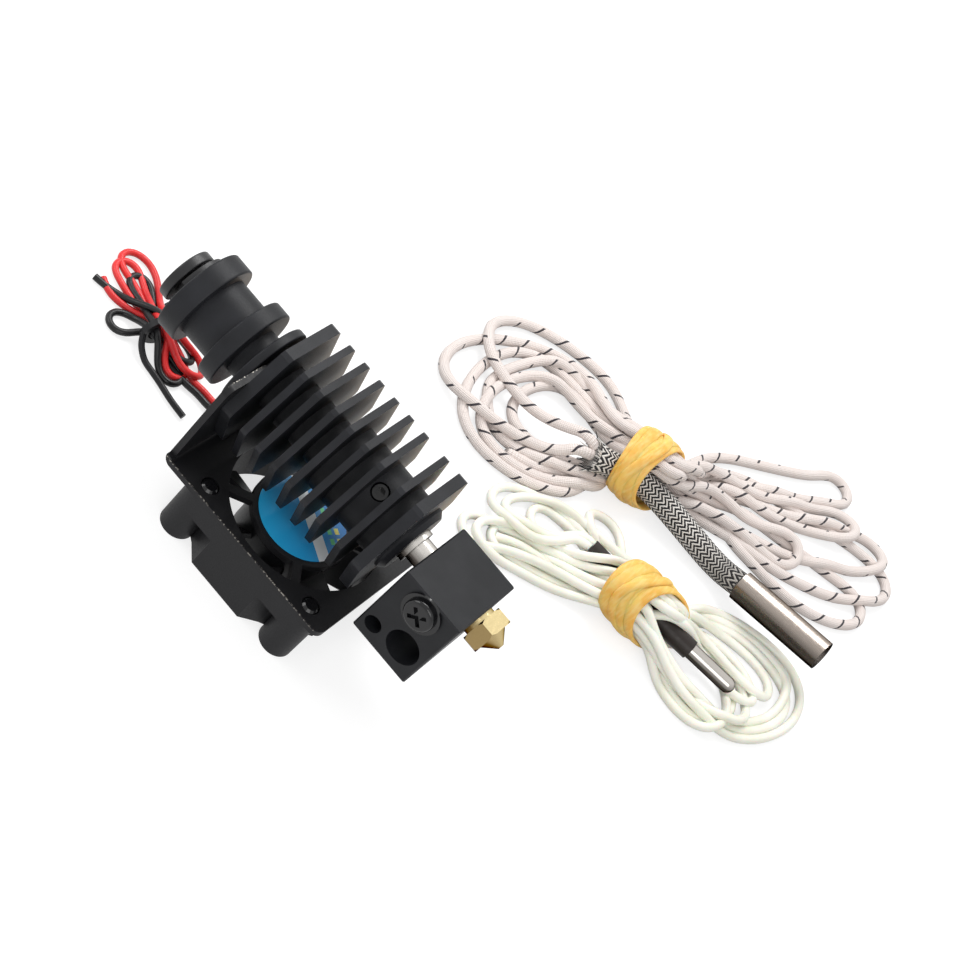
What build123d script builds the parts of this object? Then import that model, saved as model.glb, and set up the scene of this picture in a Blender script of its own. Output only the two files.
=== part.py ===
"""Hotend assembly of a desktop 3-D printer, with its heater and thermistor lying beside it.

Frame, in millimetres: X runs along the filament path towards the nozzle, with X = 0 on the top
face of the mounting flange, and Z is up. The assembly lies on the back of its cooling fan.
"""
from build123d import *
from math import cos, pi, radians, sin, tan
import os

# ---------------------------------------------------------------- driving dimensions
# Heatsink: mounting flanges
FLANGE_R = 8.0
FLANGE_TOP_LEN = 3.7
GROOVE_R = 6.0
GROOVE_LEN = 6.0
FLANGE_LOW_LEN = 3.0
NECK_R = 4.6
NECK_LEN = 2.4
DISC_LEN = 1.6
BRACKET_GAP = 1.35
EDGE_BREAK = 0.3

# Heatsink: fins and core
FIN_ACROSS_FLATS = 22.0
FIN_CORNER_R = 12.45
FIN_THICK = 1.2
END_FIN_THICK = 2.0
FIN_GAP = 2.3
SCREW_GAP = 3.55
FINS_BEFORE_SCREW = 6
CORE_SLIM_R = 4.5
CORE_WIDE_R = 6.5
SLIM_FINS = 4
BOSS_R = 6.6
BOSS_LEN = 1.4
BOSS_CHAMFER = 0.9

# Filament path
TUBE_BORE_R = 2.1
TUBE_R = 2.0
FILAMENT_BORE_R = 1.0
RUN_CLEAR = 0.05
INSERT_R = 4.0
INSERT_LEN = 8.0
INSERT_FLOOR = 1.0
COLLET_HEAD_R = 4.8
COLLET_HEAD_LEN = 1.8
COLLET_GAP = 1.7
COLLET_LEG_R = 3.0
COLLET_LEG_LEN = 5.0
COLLET_NECK_R = 2.7
COLLET_BORE_R = 2.05
COLLET_SLIT = 0.6
COLLET_SLIT_START = 1.2
COLLET_SLIT_TURNS = (0, 90)
COLLET_NECK_SINK = 0.55
CLIP_THICK = 1.05
CLIP_R = 5.6
CLIP_CLEAR = 0.1
CLIP_SLOT_CLEAR = 0.15
LINER_TOP = 14.0
LINER_STOP = 1.1
LINER_END_GAP = 0.1

# Heatbreak, block and nozzle
BREAK_R = 3.0
BREAK_DEPTH = 15.1
BREAK_COLLAR_R = 3.2
BREAK_COLLAR_LEN = 0.9
BREAK_NECK_R = 2.3
BREAK_NECK_LEN = 2.35
BREAK_THREAD_R = 2.75
BREAK_THREAD_LEN = 5.0
BLOCK_LEN = 12.0
BLOCK_SIDE = 16.0
BLOCK_ABOVE = 4.75
BLOCK_BESIDE = 6.0
BLOCK_EDGE = 0.25
HEATER_R = 3.0
HEATER_BORE_CLEAR = 0.05
HEATER_BORE_S = 7.94
HEATER_BORE_V = 11.0
THERMISTOR_R = 1.5
THERMISTOR_BORE_S = 2.3
THERMISTOR_BORE_V = 12.6
NOZZLE_STANDOFF = 0.7
NOZZLE_HEX_LEN = 2.85
NOZZLE_HEX_FLATS = 7.0
NOZZLE_CONE_LEN = 1.95
NOZZLE_CONE_R = 2.45
NOZZLE_TIP_R = 0.5
NOZZLE_HOLE_R = 0.2
NOZZLE_CHAMFER = 0.35
NOZZLE_TURN = 15.0

# Small screws
M3_R = 1.5
M3_HOLE_CLEAR = 0.05
M3_HEAD_R = 2.75
M3_HEAD_LEN = 1.0
M3_HEAD_ROUND = 0.6
M3_END_CHAMFER = 0.4
CROSS_SPAN = 3.4
CROSS_WIDTH = 0.75
GRUB_LEN = 3.2
GRUB_SOCKET_FLATS = 1.5
GRUB_ANGLE = 36.0
GRUB_CHAMFER = 0.25
WASHER_R = 3.5
WASHER_THICK = 0.4
WASHER_CLEAR = 0.1
BLOCK_SCREW_LEN = 5.5
BLOCK_SCREW_S = 6.04
BLOCK_SCREW_V = 3.27
BLOCK_SCREW_TURN = 45.0
FAN_HEAD_R = 2.4
FAN_HEAD_LEN = 1.2
FAN_HEAD_SINK = 0.1
FAN_HEAD_CLEAR = 0.1
FAN_SCREW_PROUD = 0.25

# Fan and its bracket
SHEET = 1.1
PLATE_DEPTH = 13.5
PLATE_MARGIN = 1.45
PLATE_CORNER_R = 1.8
PLATE_LIP = 0.45
BEND_R = 1.6
TAB_FRONT = 4.8
TAB_STEP = 0.7
TAB_FAR_STEP = 2.6
TAB_CORNER_R = 1.5
FAN_SIDE = 30.0
FAN_DEPTH = 10.0
FAN_BEND_GAP = 3.15
FAN_HOLE_R = 1.6
FAN_DUCT_WALL = 0.8
FAN_LOBE_R = 3.0
FAN_WALL_HALF = 5.5
FAN_BARREL_WALL = 0.6
FAN_FLANGE = 3.6
FAN_HUB_R = 8.9
FAN_HUB_THICK = 1.2
FAN_HUB_DROP = 0.2
STRUT_WIDTH = 1.6
STRUT_COUNT = 4
STRUT_START = 37.0
LABEL_THICK = 0.15
LABEL_MARGIN = 1.0
BEARING_TUBE_R = 2.6
BEARING_R = 1.9
BEARING_CAP = 0.3
SHAFT_R = 0.75
SHAFT_CLEAR = 0.03
SHAFT_CAP = 0.8
ROTOR_R = 8.3
ROTOR_WALL = 1.0
ROTOR_GAP = 0.7
ROTOR_BACK = 0.6
BLADE_COUNT = 7
BLADE_START = 28.0
BLADE_TIP_CLEAR = 0.6
BLADE_THICK = 0.8
BLADE_PITCH = 42.0
BLADE_HALF_CHORD = 3.3
BLADE_TWIST = 12.0
BLADE_ROOT_SINK = 0.4
BLADE_ABOVE = 0.3
CUP_ROUND = 0.6
MAGNET_INSET = 0.4
MAGNET_THICK = 0.7
STATOR_R = 6.0
STATOR_THICK = 3.0
STATOR_GAP = 0.6
STATOR_CORE_WALL = 1.2
STATOR_SHOE = 0.7
STATOR_SHOE_SPAN = 6.0
POLE_WIDTH = 1.4
POLE_HEIGHT = 1.8
POLE_COUNT = 4
COIL_WIDTH = 2.8
COIL_END_GAP = 0.4
COIL_CLEAR = 0.05
PCB_R = 6.9
PCB_THICK = 0.8

# Heater and thermistor, lying beside the hotend
CARTRIDGE_LEN = 20.0
CARTRIDGE_WALL = 0.4
CERAMIC_RECESS = 1.0
CARTRIDGE_BASE = (92.4, 81.3, -20.0)
CARTRIDGE_DIR = (0.962, -0.094, 0.257)
SLEEVE_R = 2.5
SLEEVE_POINTS = [(56.6, 71.0, -18.5), (66.9, 78.7, -19.6), (85.7, 82.0, -21.8)]
PROBE_LEN = 15.0
PROBE_SHRINK = (94.4, 57.4, -19.5)
PROBE_TIP = (104.8, 59.2, -19.5)
PROBE_WALL = 0.25
SHRINK_START = (69.3, 54.6, -19.5)
SHRINK_R = 1.9
BAND_THICK = 1.1
HEATER_BAND_AT = (66.0, 80.4)
HEATER_BAND_ANGLE = 20.0
HEATER_BAND_WIDTH = 6.5
HEATER_BAND_A = 5.9
HEATER_BAND_B = 5.2
PROBE_BAND_AT = (83.6, 54.7)
PROBE_BAND_ANGLE = 8.0
PROBE_BAND_WIDTH = 8.0
PROBE_BAND_A = 4.8
PROBE_BAND_B = 4.5
FIT = 0.15

# Hank outlines on the floor: far point, near point and height of each cross-section
HEATER_HANK_LEFT = [
    ((23.6, 79.0), (24.4, 69.0), 2.6),
    ((27.0, 86.0), (29.0, 61.0), 3.8),
    ((34.0, 92.0), (37.5, 55.0), 5.4),
    ((43.0, 95.0), (47.5, 54.5), 6.6),
    ((51.5, 93.5), (56.5, 62.0), 8.4),
]
HEATER_HANK_RIGHT = [
    ((72.5, 98.0), (77.5, 83.6), 9.2),
    ((79.0, 113.0), (89.0, 87.8), 7.6),
    ((90.0, 130.0), (103.0, 94.5), 6.2),
    ((99.0, 136.5), (111.0, 103.0), 5.2),
    ((106.5, 133.5), (114.8, 113.0), 3.8),
    ((111.5, 127.5), (115.4, 119.5), 2.6),
]
PROBE_HANK_LEFT = [
    ((49.6, 46.0), (51.4, 39.5), 2.2),
    ((52.5, 51.5), (56.0, 35.5), 3.2),
    ((58.5, 59.5), (62.5, 38.5), 4.2),
    ((66.0, 64.5), (69.5, 43.5), 5.2),
    ((73.0, 62.5), (75.0, 48.0), 6.4),
]
PROBE_HANK_RIGHT = [
    ((92.5, 64.5), (94.0, 50.8), 6.4),
    ((99.0, 73.0), (101.0, 51.0), 5.2),
    ((106.0, 77.5), (108.5, 53.0), 4.0),
    ((111.5, 77.0), (113.6, 58.5), 3.2),
    ((115.0, 73.5), (116.2, 65.0), 2.2),
]

# Fan lead
LEAD_R = 0.62
LEAD_SPACING = 1.5
LEAD_EXIT_Y = 9.0
LEAD_EXIT_BELOW = 3.0
LEAD_END_X = 8.6
LEAD_STRAIGHT = 3.2
LEAD_DROP_AT = 6.4
LEAD_DROP_HEIGHT = 2.6
LEAD_DOWN_AT = 9.8
LEAD_DRIFT = 0.7
LEAD_REST = 0.1
LEAD_LIFT = 0.05
TIE_AT = (-3.2, 10.0)
TIE_ANGLE = -17.0
TIE_A = 3.1
TIE_B = 2.3
TIE_R = 0.55
FAN_HANK_LEFT = [
    ((-21.2, 18.4), (-20.6, 15.6), 1.6),
    ((-17.5, 20.2), (-18.0, 10.5), 3.0),
    ((-12.0, 19.0), (-13.2, 6.0), 4.2),
]
FAN_HANK_RIGHT = [
    ((3.6, 13.6), (2.4, 5.8), 4.0),
    ((LEAD_END_X, 12.0), (LEAD_END_X, 7.6), 1.8),
]
TIE_TAIL = [(-4.3, 6.4, -21.6), (-3.0, 5.3, -22.8), (-0.8, 4.6, -23.9), (3.2, 4.3, -24.0), (7.2, 3.5, -24.0),
            (10.6, 3.3, -24.0)]

# ---------------------------------------------------------------- places that follow from them
NECK_TOP = FLANGE_TOP_LEN + GROOVE_LEN + FLANGE_LOW_LEN
DISC_TOP = NECK_TOP + NECK_LEN
GAP_TOP = DISC_TOP + DISC_LEN
FIN_ONE = GAP_TOP + BRACKET_GAP
FIN_PITCH = FIN_THICK + FIN_GAP
FIN_TWO = FIN_ONE + END_FIN_THICK + FIN_GAP
SCREW_GAP_TOP = FIN_TWO + (FINS_BEFORE_SCREW - 1) * FIN_PITCH + FIN_THICK
FIN_AFTER_SCREW = SCREW_GAP_TOP + SCREW_GAP
LAST_FIN = FIN_AFTER_SCREW + FIN_THICK + FIN_GAP
SINK_END = LAST_FIN + END_FIN_THICK
BOSS_END = SINK_END + BOSS_LEN
CORE_STEP = FIN_TWO + (SLIM_FINS - 1) * FIN_PITCH
GRUB_X = SCREW_GAP_TOP + SCREW_GAP / 2

BREAK_TOP = BOSS_END - BREAK_DEPTH
BLOCK_TOP = BOSS_END + BREAK_COLLAR_LEN + BREAK_NECK_LEN
BLOCK_END = BLOCK_TOP + BLOCK_LEN
BREAK_END = BLOCK_TOP + BREAK_THREAD_LEN
BLOCK_Y = BLOCK_BESIDE - BLOCK_SIDE
NOZZLE_HEX_TOP = BLOCK_END + NOZZLE_STANDOFF
NOZZLE_HEX_END = NOZZLE_HEX_TOP + NOZZLE_HEX_LEN
NOZZLE_END = NOZZLE_HEX_END + NOZZLE_CONE_LEN

PLATE_BACK = -(PLATE_DEPTH + SHEET)
PLATE_HALF_Y = FAN_SIDE / 2
FLOOR = PLATE_BACK - FAN_DEPTH
TAB_BACK = FIN_ONE - RUN_CLEAR
TAB_FACE = TAB_BACK - SHEET
TAB_NEAR_Y = PLATE_HALF_Y - TAB_STEP
TAB_FAR_Y = PLATE_HALF_Y - TAB_FAR_STEP
FAN_CENTRE_X = TAB_FACE + BEND_R + FAN_BEND_GAP + FAN_SIDE / 2
FAN_HOLE_PITCH = FAN_SIDE - 2 * FAN_LOBE_R
FAN_DUCT_R = FAN_SIDE / 2 - FAN_DUCT_WALL
PLATE_OPENING_R = FAN_DUCT_R - PLATE_LIP
PLATE_END = FAN_CENTRE_X + FAN_SIDE / 2 + PLATE_MARGIN
HUB_TOP = PLATE_BACK - FAN_HUB_DROP
HUB_END = HUB_TOP - FAN_HUB_THICK
ROTOR_TOP = HUB_END - ROTOR_GAP
ROTOR_END = FLOOR + ROTOR_BACK
STATOR_TOP = HUB_END - PCB_THICK - STATOR_GAP
FAN_FRONT_X = FAN_CENTRE_X - FAN_SIDE / 2


# ---------------------------------------------------------------- shared helpers
def rod_x(radius, start, end):
    """A cylinder along X between two stations."""
    return Pos(start, 0, 0) * Rot(0, 90, 0) * Cylinder(
        radius, end - start, align=(Align.CENTER, Align.CENTER, Align.MIN))


def rod_z(radius, low, high, x=0.0, y=0.0):
    """A cylinder along Z between two heights."""
    return Pos(x, y, low) * Cylinder(radius, high - low, align=(Align.CENTER, Align.CENTER, Align.MIN))


def rod_y(radius, start, end, x, z):
    """A cylinder along Y between two depths."""
    return Pos(x, start, z) * Rot(-90, 0, 0) * Cylinder(
        radius, end - start, align=(Align.CENTER, Align.CENTER, Align.MIN))


def rod_along(radius, point, direction, length):
    """A cylinder that starts at a point and runs along a direction."""
    return extrude(Plane(origin=point, z_dir=direction) * Circle(radius), length)


def box_between(low, high):
    """A box from its lowest corner to its highest."""
    size = [b - a for a, b in zip(low, high)]
    return Pos(*low) * Box(*size, align=(Align.MIN, Align.MIN, Align.MIN))


def hex_fin(start, thick):
    """One hexagonal fin with turned corners, flats up and down."""
    plane = Plane(origin=(start, 0, 0), x_dir=(0, 1, 0), z_dir=(1, 0, 0))
    corner = FIN_ACROSS_FLATS / 2 / cos(radians(30))
    fin = extrude(plane * RegularPolygon(corner, 6), thick)
    return fin & rod_x(FIN_CORNER_R, start, start + thick)


def arc_radii(points):
    """The largest tangent arc at each corner of a route: 0.45 of its shorter run."""
    radii = []
    for before, here, after in zip(points, points[1:], points[2:]):
        run_in = Vector(*here) - Vector(*before)
        run_out = Vector(*after) - Vector(*here)
        half_turn = radians(run_in.get_angle(run_out)) / 2
        radii.append(0.45 * min(run_in.length, run_out.length) / tan(half_turn))
    return radii


def routed_tube(name, points, radius):
    """A round tube along straight runs joined by tangent arcs."""
    radii = arc_radii(points)
    path = FilletPolyline(*points, radius=radii)
    start = Vector(*points[1]) - Vector(*points[0])
    tube = sweep(Plane(origin=points[0], z_dir=start) * Circle(radius), path=path)
    drawn = tube.volume / (pi * radius ** 2)
    print(f"{name}: radii {[round(r, 1) for r in radii]}, length {path.length:.1f}, by volume {drawn:.1f}")
    return tube


def on_floor(at, angle, height):
    """A plane standing across a bundle: its Z runs along the bundle, its Y is up."""
    along = (cos(radians(angle)), sin(radians(angle)), 0)
    across = (-sin(radians(angle)), cos(radians(angle)), 0)
    return Plane(origin=(at[0], at[1], height), x_dir=across, z_dir=along)


def section(far, near, low, high):
    """One twelve-sided cross-section of a hank, standing on the line between two floor points."""
    steps = [radians(15 + 30 * k) for k in range(12)]
    reach = 0.5 / cos(radians(15))
    mid_z = (low + high) / 2
    corners = []
    for step in steps:
        share = 0.5 + reach * cos(step)
        corners.append((
            near[0] + (far[0] - near[0]) * share,
            near[1] + (far[1] - near[1]) * share,
            mid_z + (high - low) * reach * sin(step),
        ))
    return Face(Wire.make_polygon(corners, close=True))


def waist(at, angle, half_a, half_b, half_width, centre):
    """The two cross-sections of a hank where it passes through its band."""
    ends = []
    for side in (-1, 1):
        x = at[0] + side * half_width * cos(radians(angle))
        y = at[1] + side * half_width * sin(radians(angle))
        reach = half_a * cos(radians(15))
        across = (-sin(radians(angle)) * reach, cos(radians(angle)) * reach)
        rise = half_b * cos(radians(15))
        ends.append(section((x + across[0], y + across[1]), (x - across[0], y - across[1]),
                            centre - rise, centre + rise))
    return ends


def hank(left, middle, right):
    """One closed solid with the outer shape of a hank, laid on the floor."""
    def stand(rows):
        return [section(far, near, FLOOR, FLOOR + high) for far, near, high in rows]
    return loft([*stand(left), *middle, *stand(right)], ruled=True)


def band_ring(at, angle, half_a, half_b, width):
    """A rubber band round a hank, resting on the floor."""
    centre = FLOOR + half_b + BAND_THICK
    plane = on_floor(at, angle, centre)
    outer = Ellipse(half_a + BAND_THICK, half_b + BAND_THICK)
    return extrude(plane * (outer - Ellipse(half_a, half_b)), width / 2, both=True)


def pan_screw(length, head_r, head_len):
    """A pan-head screw along -Z, its head's seat at Z = 0, with a cross recess."""
    head = rod_z(head_r, 0, head_len)
    head = fillet(head.edges().group_by(Axis.Z)[-1], head_len * M3_HEAD_ROUND)
    shank = rod_z(M3_R, -length, 0)
    shank = chamfer(shank.edges().group_by(Axis.Z)[0], M3_END_CHAMFER)
    cross = Box(CROSS_SPAN, CROSS_WIDTH, head_len) + Box(CROSS_WIDTH, CROSS_SPAN, head_len)
    return head + shank - Pos(0, 0, head_len) * cross


# ---------------------------------------------------------------- heatsink and filament path
def heatsink():
    """Turned aluminium body: two mounting flanges, a disc, nine hexagonal fins and a boss."""
    body = rod_x(FLANGE_R, 0, FLANGE_TOP_LEN)
    body = fillet(body.edges().filter_by(GeomType.CIRCLE), EDGE_BREAK)
    low = rod_x(FLANGE_R, FLANGE_TOP_LEN + GROOVE_LEN, NECK_TOP)
    disc = rod_x(FLANGE_R, DISC_TOP, GAP_TOP)
    for ring in (low, disc):
        body += fillet(ring.edges().filter_by(GeomType.CIRCLE), EDGE_BREAK)
    body += rod_x(GROOVE_R, FLANGE_TOP_LEN / 2, NECK_TOP - FLANGE_LOW_LEN / 2)
    body += rod_x(NECK_R, NECK_TOP - FLANGE_LOW_LEN / 2, GAP_TOP - DISC_LEN / 2)
    body += rod_x(CORE_SLIM_R, DISC_TOP, CORE_STEP + FIN_THICK / 2)
    body += rod_x(CORE_WIDE_R, CORE_STEP + FIN_THICK / 2, SINK_END)
    body += hex_fin(FIN_ONE, END_FIN_THICK) + hex_fin(LAST_FIN, END_FIN_THICK)
    starts = [FIN_TWO + k * FIN_PITCH for k in range(FINS_BEFORE_SCREW)] + [FIN_AFTER_SCREW]
    for start in starts:
        body += hex_fin(start, FIN_THICK)
    boss = rod_x(BOSS_R, SINK_END, BOSS_END)
    body += chamfer(boss.edges().group_by(Axis.X)[-1], BOSS_CHAMFER)
    body -= rod_x(INSERT_R, 0, INSERT_LEN)
    body -= rod_x(TUBE_BORE_R, 0, BOSS_END)
    body -= rod_x(BREAK_R + RUN_CLEAR, BREAK_TOP, BOSS_END)
    return body - grub_axis() * rod_z(M3_R + M3_HOLE_CLEAR, BREAK_R, CORE_WIDE_R + 1)


def grub_axis():
    """Placement of the heatbreak set screw: out of the core in the wide fin gap."""
    return Pos(GRUB_X, 0, 0) * Rot(GRUB_ANGLE, 0, 0)


def heatbreak_set_screw():
    """Headless M3 screw with a hex socket."""
    start = BREAK_R + RUN_CLEAR
    screw = rod_z(M3_R, start, start + GRUB_LEN)
    screw = chamfer(screw.edges().group_by(Axis.Z)[-1], GRUB_CHAMFER)
    socket = extrude(RegularPolygon(GRUB_SOCKET_FLATS / 2 / cos(radians(30)), 6), GRUB_LEN)
    return grub_axis() * (screw - Pos(0, 0, start + GRUB_LEN / 2) * socket)


def coupler_insert():
    """Brass insert pressed into the top bore, in which the collet's legs slide."""
    body = rod_x(INSERT_R, 0, INSERT_LEN)
    body -= rod_x(COLLET_LEG_R + RUN_CLEAR, 0, INSERT_LEN - INSERT_FLOOR)
    return body - rod_x(TUBE_BORE_R, 0, INSERT_LEN)


def collet():
    """Push collet: a round head on a slit sleeve that grips the feed tube."""
    head_top = -(COLLET_GAP + COLLET_HEAD_LEN)
    head = rod_x(COLLET_HEAD_R, head_top, -COLLET_GAP)
    head = fillet(head.edges().filter_by(GeomType.CIRCLE), EDGE_BREAK)
    body = head + rod_x(COLLET_NECK_R, -COLLET_GAP - EDGE_BREAK, COLLET_NECK_SINK)
    body += rod_x(COLLET_LEG_R, COLLET_NECK_SINK, COLLET_LEG_LEN)
    body -= rod_x(COLLET_BORE_R, head_top, COLLET_LEG_LEN)
    for turn in COLLET_SLIT_TURNS:
        slit = box_between((COLLET_SLIT_START, -COLLET_LEG_R, -COLLET_SLIT / 2),
                           (COLLET_LEG_LEN, COLLET_LEG_R, COLLET_SLIT / 2))
        body -= Rot(turn, 0, 0) * slit
    return body


def collet_clip():
    """Thin horseshoe clip that stops the collet from being pushed in."""
    start = -(CLIP_THICK + CLIP_CLEAR)
    clip = rod_x(CLIP_R, start, start + CLIP_THICK)
    slot_half = COLLET_NECK_R + CLIP_SLOT_CLEAR
    slot = rod_x(slot_half, start, start + CLIP_THICK)
    slot += box_between((start, -CLIP_R, -slot_half), (start + CLIP_THICK, 0, slot_half))
    return clip - slot


def ptfe_liner():
    """Low-friction liner between the top of the core and the foot of the heatbreak's wide bore."""
    end = BOSS_END - LINER_STOP - LINER_END_GAP
    return rod_x(TUBE_R, LINER_TOP, end) - rod_x(FILAMENT_BORE_R, LINER_TOP, end)


def heatbreak():
    """Steel heatbreak: smooth upper shaft, collar, thin neck and threaded foot."""
    body = rod_x(BREAK_R, BREAK_TOP, BOSS_END)
    body += rod_x(BREAK_COLLAR_R, BOSS_END, BOSS_END + BREAK_COLLAR_LEN)
    body += rod_x(BREAK_NECK_R, BOSS_END, BLOCK_TOP + BREAK_COLLAR_LEN / 2)
    body += rod_x(BREAK_THREAD_R, BLOCK_TOP, BREAK_END)
    body -= rod_x(TUBE_R + RUN_CLEAR, BREAK_TOP, BOSS_END - LINER_STOP)
    return body - rod_x(FILAMENT_BORE_R, BREAK_TOP, BREAK_END)


# ---------------------------------------------------------------- hot side
def heater_block():
    """Aluminium block with the heater and thermistor bores side by side."""
    low = (BLOCK_TOP, BLOCK_Y, BLOCK_ABOVE - BLOCK_SIDE)
    block = box_between(low, (BLOCK_END, BLOCK_BESIDE, BLOCK_ABOVE))
    block = chamfer(block.edges(), BLOCK_EDGE)
    block -= rod_x(BREAK_THREAD_R + RUN_CLEAR, BLOCK_TOP - 1, BLOCK_END + 1)
    heater_r = HEATER_R + HEATER_BORE_CLEAR
    heater_x, heater_z = BLOCK_TOP + HEATER_BORE_S, BLOCK_ABOVE - HEATER_BORE_V
    block -= rod_y(heater_r, BLOCK_Y - 1, BLOCK_BESIDE + 1, heater_x, heater_z)
    probe_r = THERMISTOR_R + HEATER_BORE_CLEAR
    probe_x, probe_z = BLOCK_TOP + THERMISTOR_BORE_S, BLOCK_ABOVE - THERMISTOR_BORE_V
    block -= rod_y(probe_r, BLOCK_Y - 1, BLOCK_BESIDE + 1, probe_x, probe_z)
    screw_x, screw_z = BLOCK_TOP + BLOCK_SCREW_S, BLOCK_ABOVE - BLOCK_SCREW_V
    return block - rod_y(M3_R + M3_HOLE_CLEAR, BLOCK_Y - 1, BLOCK_Y + BLOCK_SCREW_LEN, screw_x, screw_z)


def block_screw_axis(lift):
    """Placement of the wire-clamp screw: head out of the block's -Y face."""
    return Pos(BLOCK_TOP + BLOCK_SCREW_S, BLOCK_Y - lift, BLOCK_ABOVE - BLOCK_SCREW_V) * Rot(90, 0, 0)


def block_washer():
    """Washer under the wire-clamp screw."""
    ring = rod_z(WASHER_R, 0, WASHER_THICK) - rod_z(M3_R + WASHER_CLEAR, 0, WASHER_THICK)
    return block_screw_axis(0) * ring


def block_screw():
    """Pan-head screw that clamps the thermistor's leads under the washer."""
    screw = pan_screw(BLOCK_SCREW_LEN, M3_HEAD_R, M3_HEAD_LEN)
    return block_screw_axis(WASHER_THICK) * Rot(0, 0, BLOCK_SCREW_TURN) * screw


def nozzle():
    """Brass nozzle: threaded shank, hexagon and cone, bored for the filament."""
    hex_plane = Plane(origin=(NOZZLE_HEX_TOP, 0, 0), x_dir=(0, 1, 0), z_dir=(1, 0, 0))
    corner = NOZZLE_HEX_FLATS / 2 / cos(radians(30))
    body = rod_x(BREAK_THREAD_R, BREAK_END, NOZZLE_HEX_TOP + NOZZLE_STANDOFF)
    hexagon = extrude(hex_plane * RegularPolygon(corner, 6, rotation=NOZZLE_TURN), NOZZLE_HEX_LEN)
    turned = chamfer(rod_x(corner, NOZZLE_HEX_TOP, NOZZLE_HEX_END).edges(), NOZZLE_CHAMFER)
    body += hexagon & turned
    body += Pos(NOZZLE_HEX_END, 0, 0) * Rot(0, 90, 0) * Cone(
        NOZZLE_CONE_R, NOZZLE_TIP_R, NOZZLE_CONE_LEN, align=(Align.CENTER, Align.CENTER, Align.MIN))
    body -= rod_x(FILAMENT_BORE_R, BREAK_END, NOZZLE_HEX_END)
    return body - rod_x(NOZZLE_HOLE_R, BREAK_END, NOZZLE_END)


# ---------------------------------------------------------------- fan bracket and fan
def fan_holes():
    """The four corner positions that plate, frame and screws share."""
    half = FAN_HOLE_PITCH / 2
    return [(FAN_CENTRE_X + sx * half, sy * half) for sx in (-1, 1) for sy in (-1, 1)]


def fan_bracket():
    """Bent steel sheet: a plate in front of the fan and a slotted tab that grips the core."""
    bend_x, bend_z = TAB_FACE + BEND_R, PLATE_BACK + BEND_R
    plate = box_between((bend_x, -PLATE_HALF_Y, PLATE_BACK), (PLATE_END, PLATE_HALF_Y, -PLATE_DEPTH))
    foot_edges = plate.edges().filter_by(Axis.Z).group_by(Axis.X)[-1]
    plate = fillet(foot_edges, PLATE_CORNER_R)
    bend = rod_y(BEND_R, -PLATE_HALF_Y, PLATE_HALF_Y, bend_x, bend_z)
    bend -= rod_y(BEND_R - SHEET, -PLATE_HALF_Y, PLATE_HALF_Y, bend_x, bend_z)
    bend &= box_between((TAB_FACE, -PLATE_HALF_Y, PLATE_BACK), (bend_x, PLATE_HALF_Y, bend_z))
    tab = box_between((TAB_FACE, -TAB_NEAR_Y, bend_z), (TAB_BACK, TAB_FAR_Y, TAB_FRONT))
    tab = fillet(tab.edges().filter_by(Axis.X).group_by(Axis.Z)[-1], TAB_CORNER_R)
    body = bend + tab + plate
    slot_r = CORE_SLIM_R + 2 * RUN_CLEAR
    body -= rod_x(slot_r, TAB_FACE, TAB_BACK)
    body -= box_between((TAB_FACE, -slot_r, 0), (TAB_BACK, slot_r, TAB_FRONT + 1))
    body -= rod_z(PLATE_OPENING_R, PLATE_BACK, -PLATE_DEPTH, FAN_CENTRE_X)
    for x, y in fan_holes():
        body -= rod_z(FAN_HOLE_R, PLATE_BACK, -PLATE_DEPTH, x, y)
    return body


def fan_square(low, high, corner):
    """The fan's square outline with rounded corners, between two heights."""
    sketch = Pos(FAN_CENTRE_X, 0, low) * RectangleRounded(FAN_SIDE, FAN_SIDE, corner)
    return extrude(sketch, high - low)


def fan_barrel(low, high):
    """The fan's duct outside: flat at the four sides, bevelled between them, round behind the bevels."""
    half, side = FAN_WALL_HALF, FAN_SIDE / 2
    corners = [(half, side), (-half, side), (-side, half), (-side, -half),
               (-half, -side), (half, -side), (side, -half), (side, half)]
    outline = Polygon(*corners, align=None) + Circle(FAN_DUCT_R + FAN_BARREL_WALL)
    return Pos(FAN_CENTRE_X, 0, low) * extrude(outline, high - low)


def fan_frame():
    """Moulded fan frame: square flange, duct, corner posts, hub plate, struts and bearing tube."""
    flange_end = PLATE_BACK - FAN_FLANGE
    body = fan_square(flange_end, PLATE_BACK, FAN_LOBE_R)
    body += fan_barrel(FLOOR, flange_end)
    for x, y in fan_holes():
        body += rod_z(FAN_LOBE_R, FLOOR, flange_end, x, y)
    body -= rod_z(FAN_DUCT_R, FLOOR, PLATE_BACK, FAN_CENTRE_X)
    for x, y in fan_holes():
        body -= rod_z(FAN_HOLE_R, FLOOR, PLATE_BACK, x, y)
        body -= rod_z(FAN_HEAD_R + FAN_HEAD_CLEAR, FLOOR, FLOOR + FAN_HEAD_SINK + FAN_HEAD_LEN, x, y)
    body += rod_z(FAN_HUB_R, HUB_END, HUB_TOP, FAN_CENTRE_X)
    strut_len = FAN_DUCT_R + FAN_DUCT_WALL / 2
    for turn in range(STRUT_COUNT):
        strut = box_between((0, -STRUT_WIDTH / 2, HUB_END), (strut_len, STRUT_WIDTH / 2, HUB_TOP))
        body += Pos(FAN_CENTRE_X, 0, 0) * Rot(0, 0, STRUT_START + 360 / STRUT_COUNT * turn) * strut
    body += rod_z(BEARING_TUBE_R, ROTOR_END + 2 * ROTOR_WALL, HUB_END, FAN_CENTRE_X)
    return body - rod_z(BEARING_R, FLOOR, HUB_END - BEARING_CAP, FAN_CENTRE_X)


def fan_label():
    """Round paper disc on the hub plate."""
    return rod_z(FAN_HUB_R - LABEL_MARGIN, HUB_TOP, HUB_TOP + LABEL_THICK, FAN_CENTRE_X)


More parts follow.
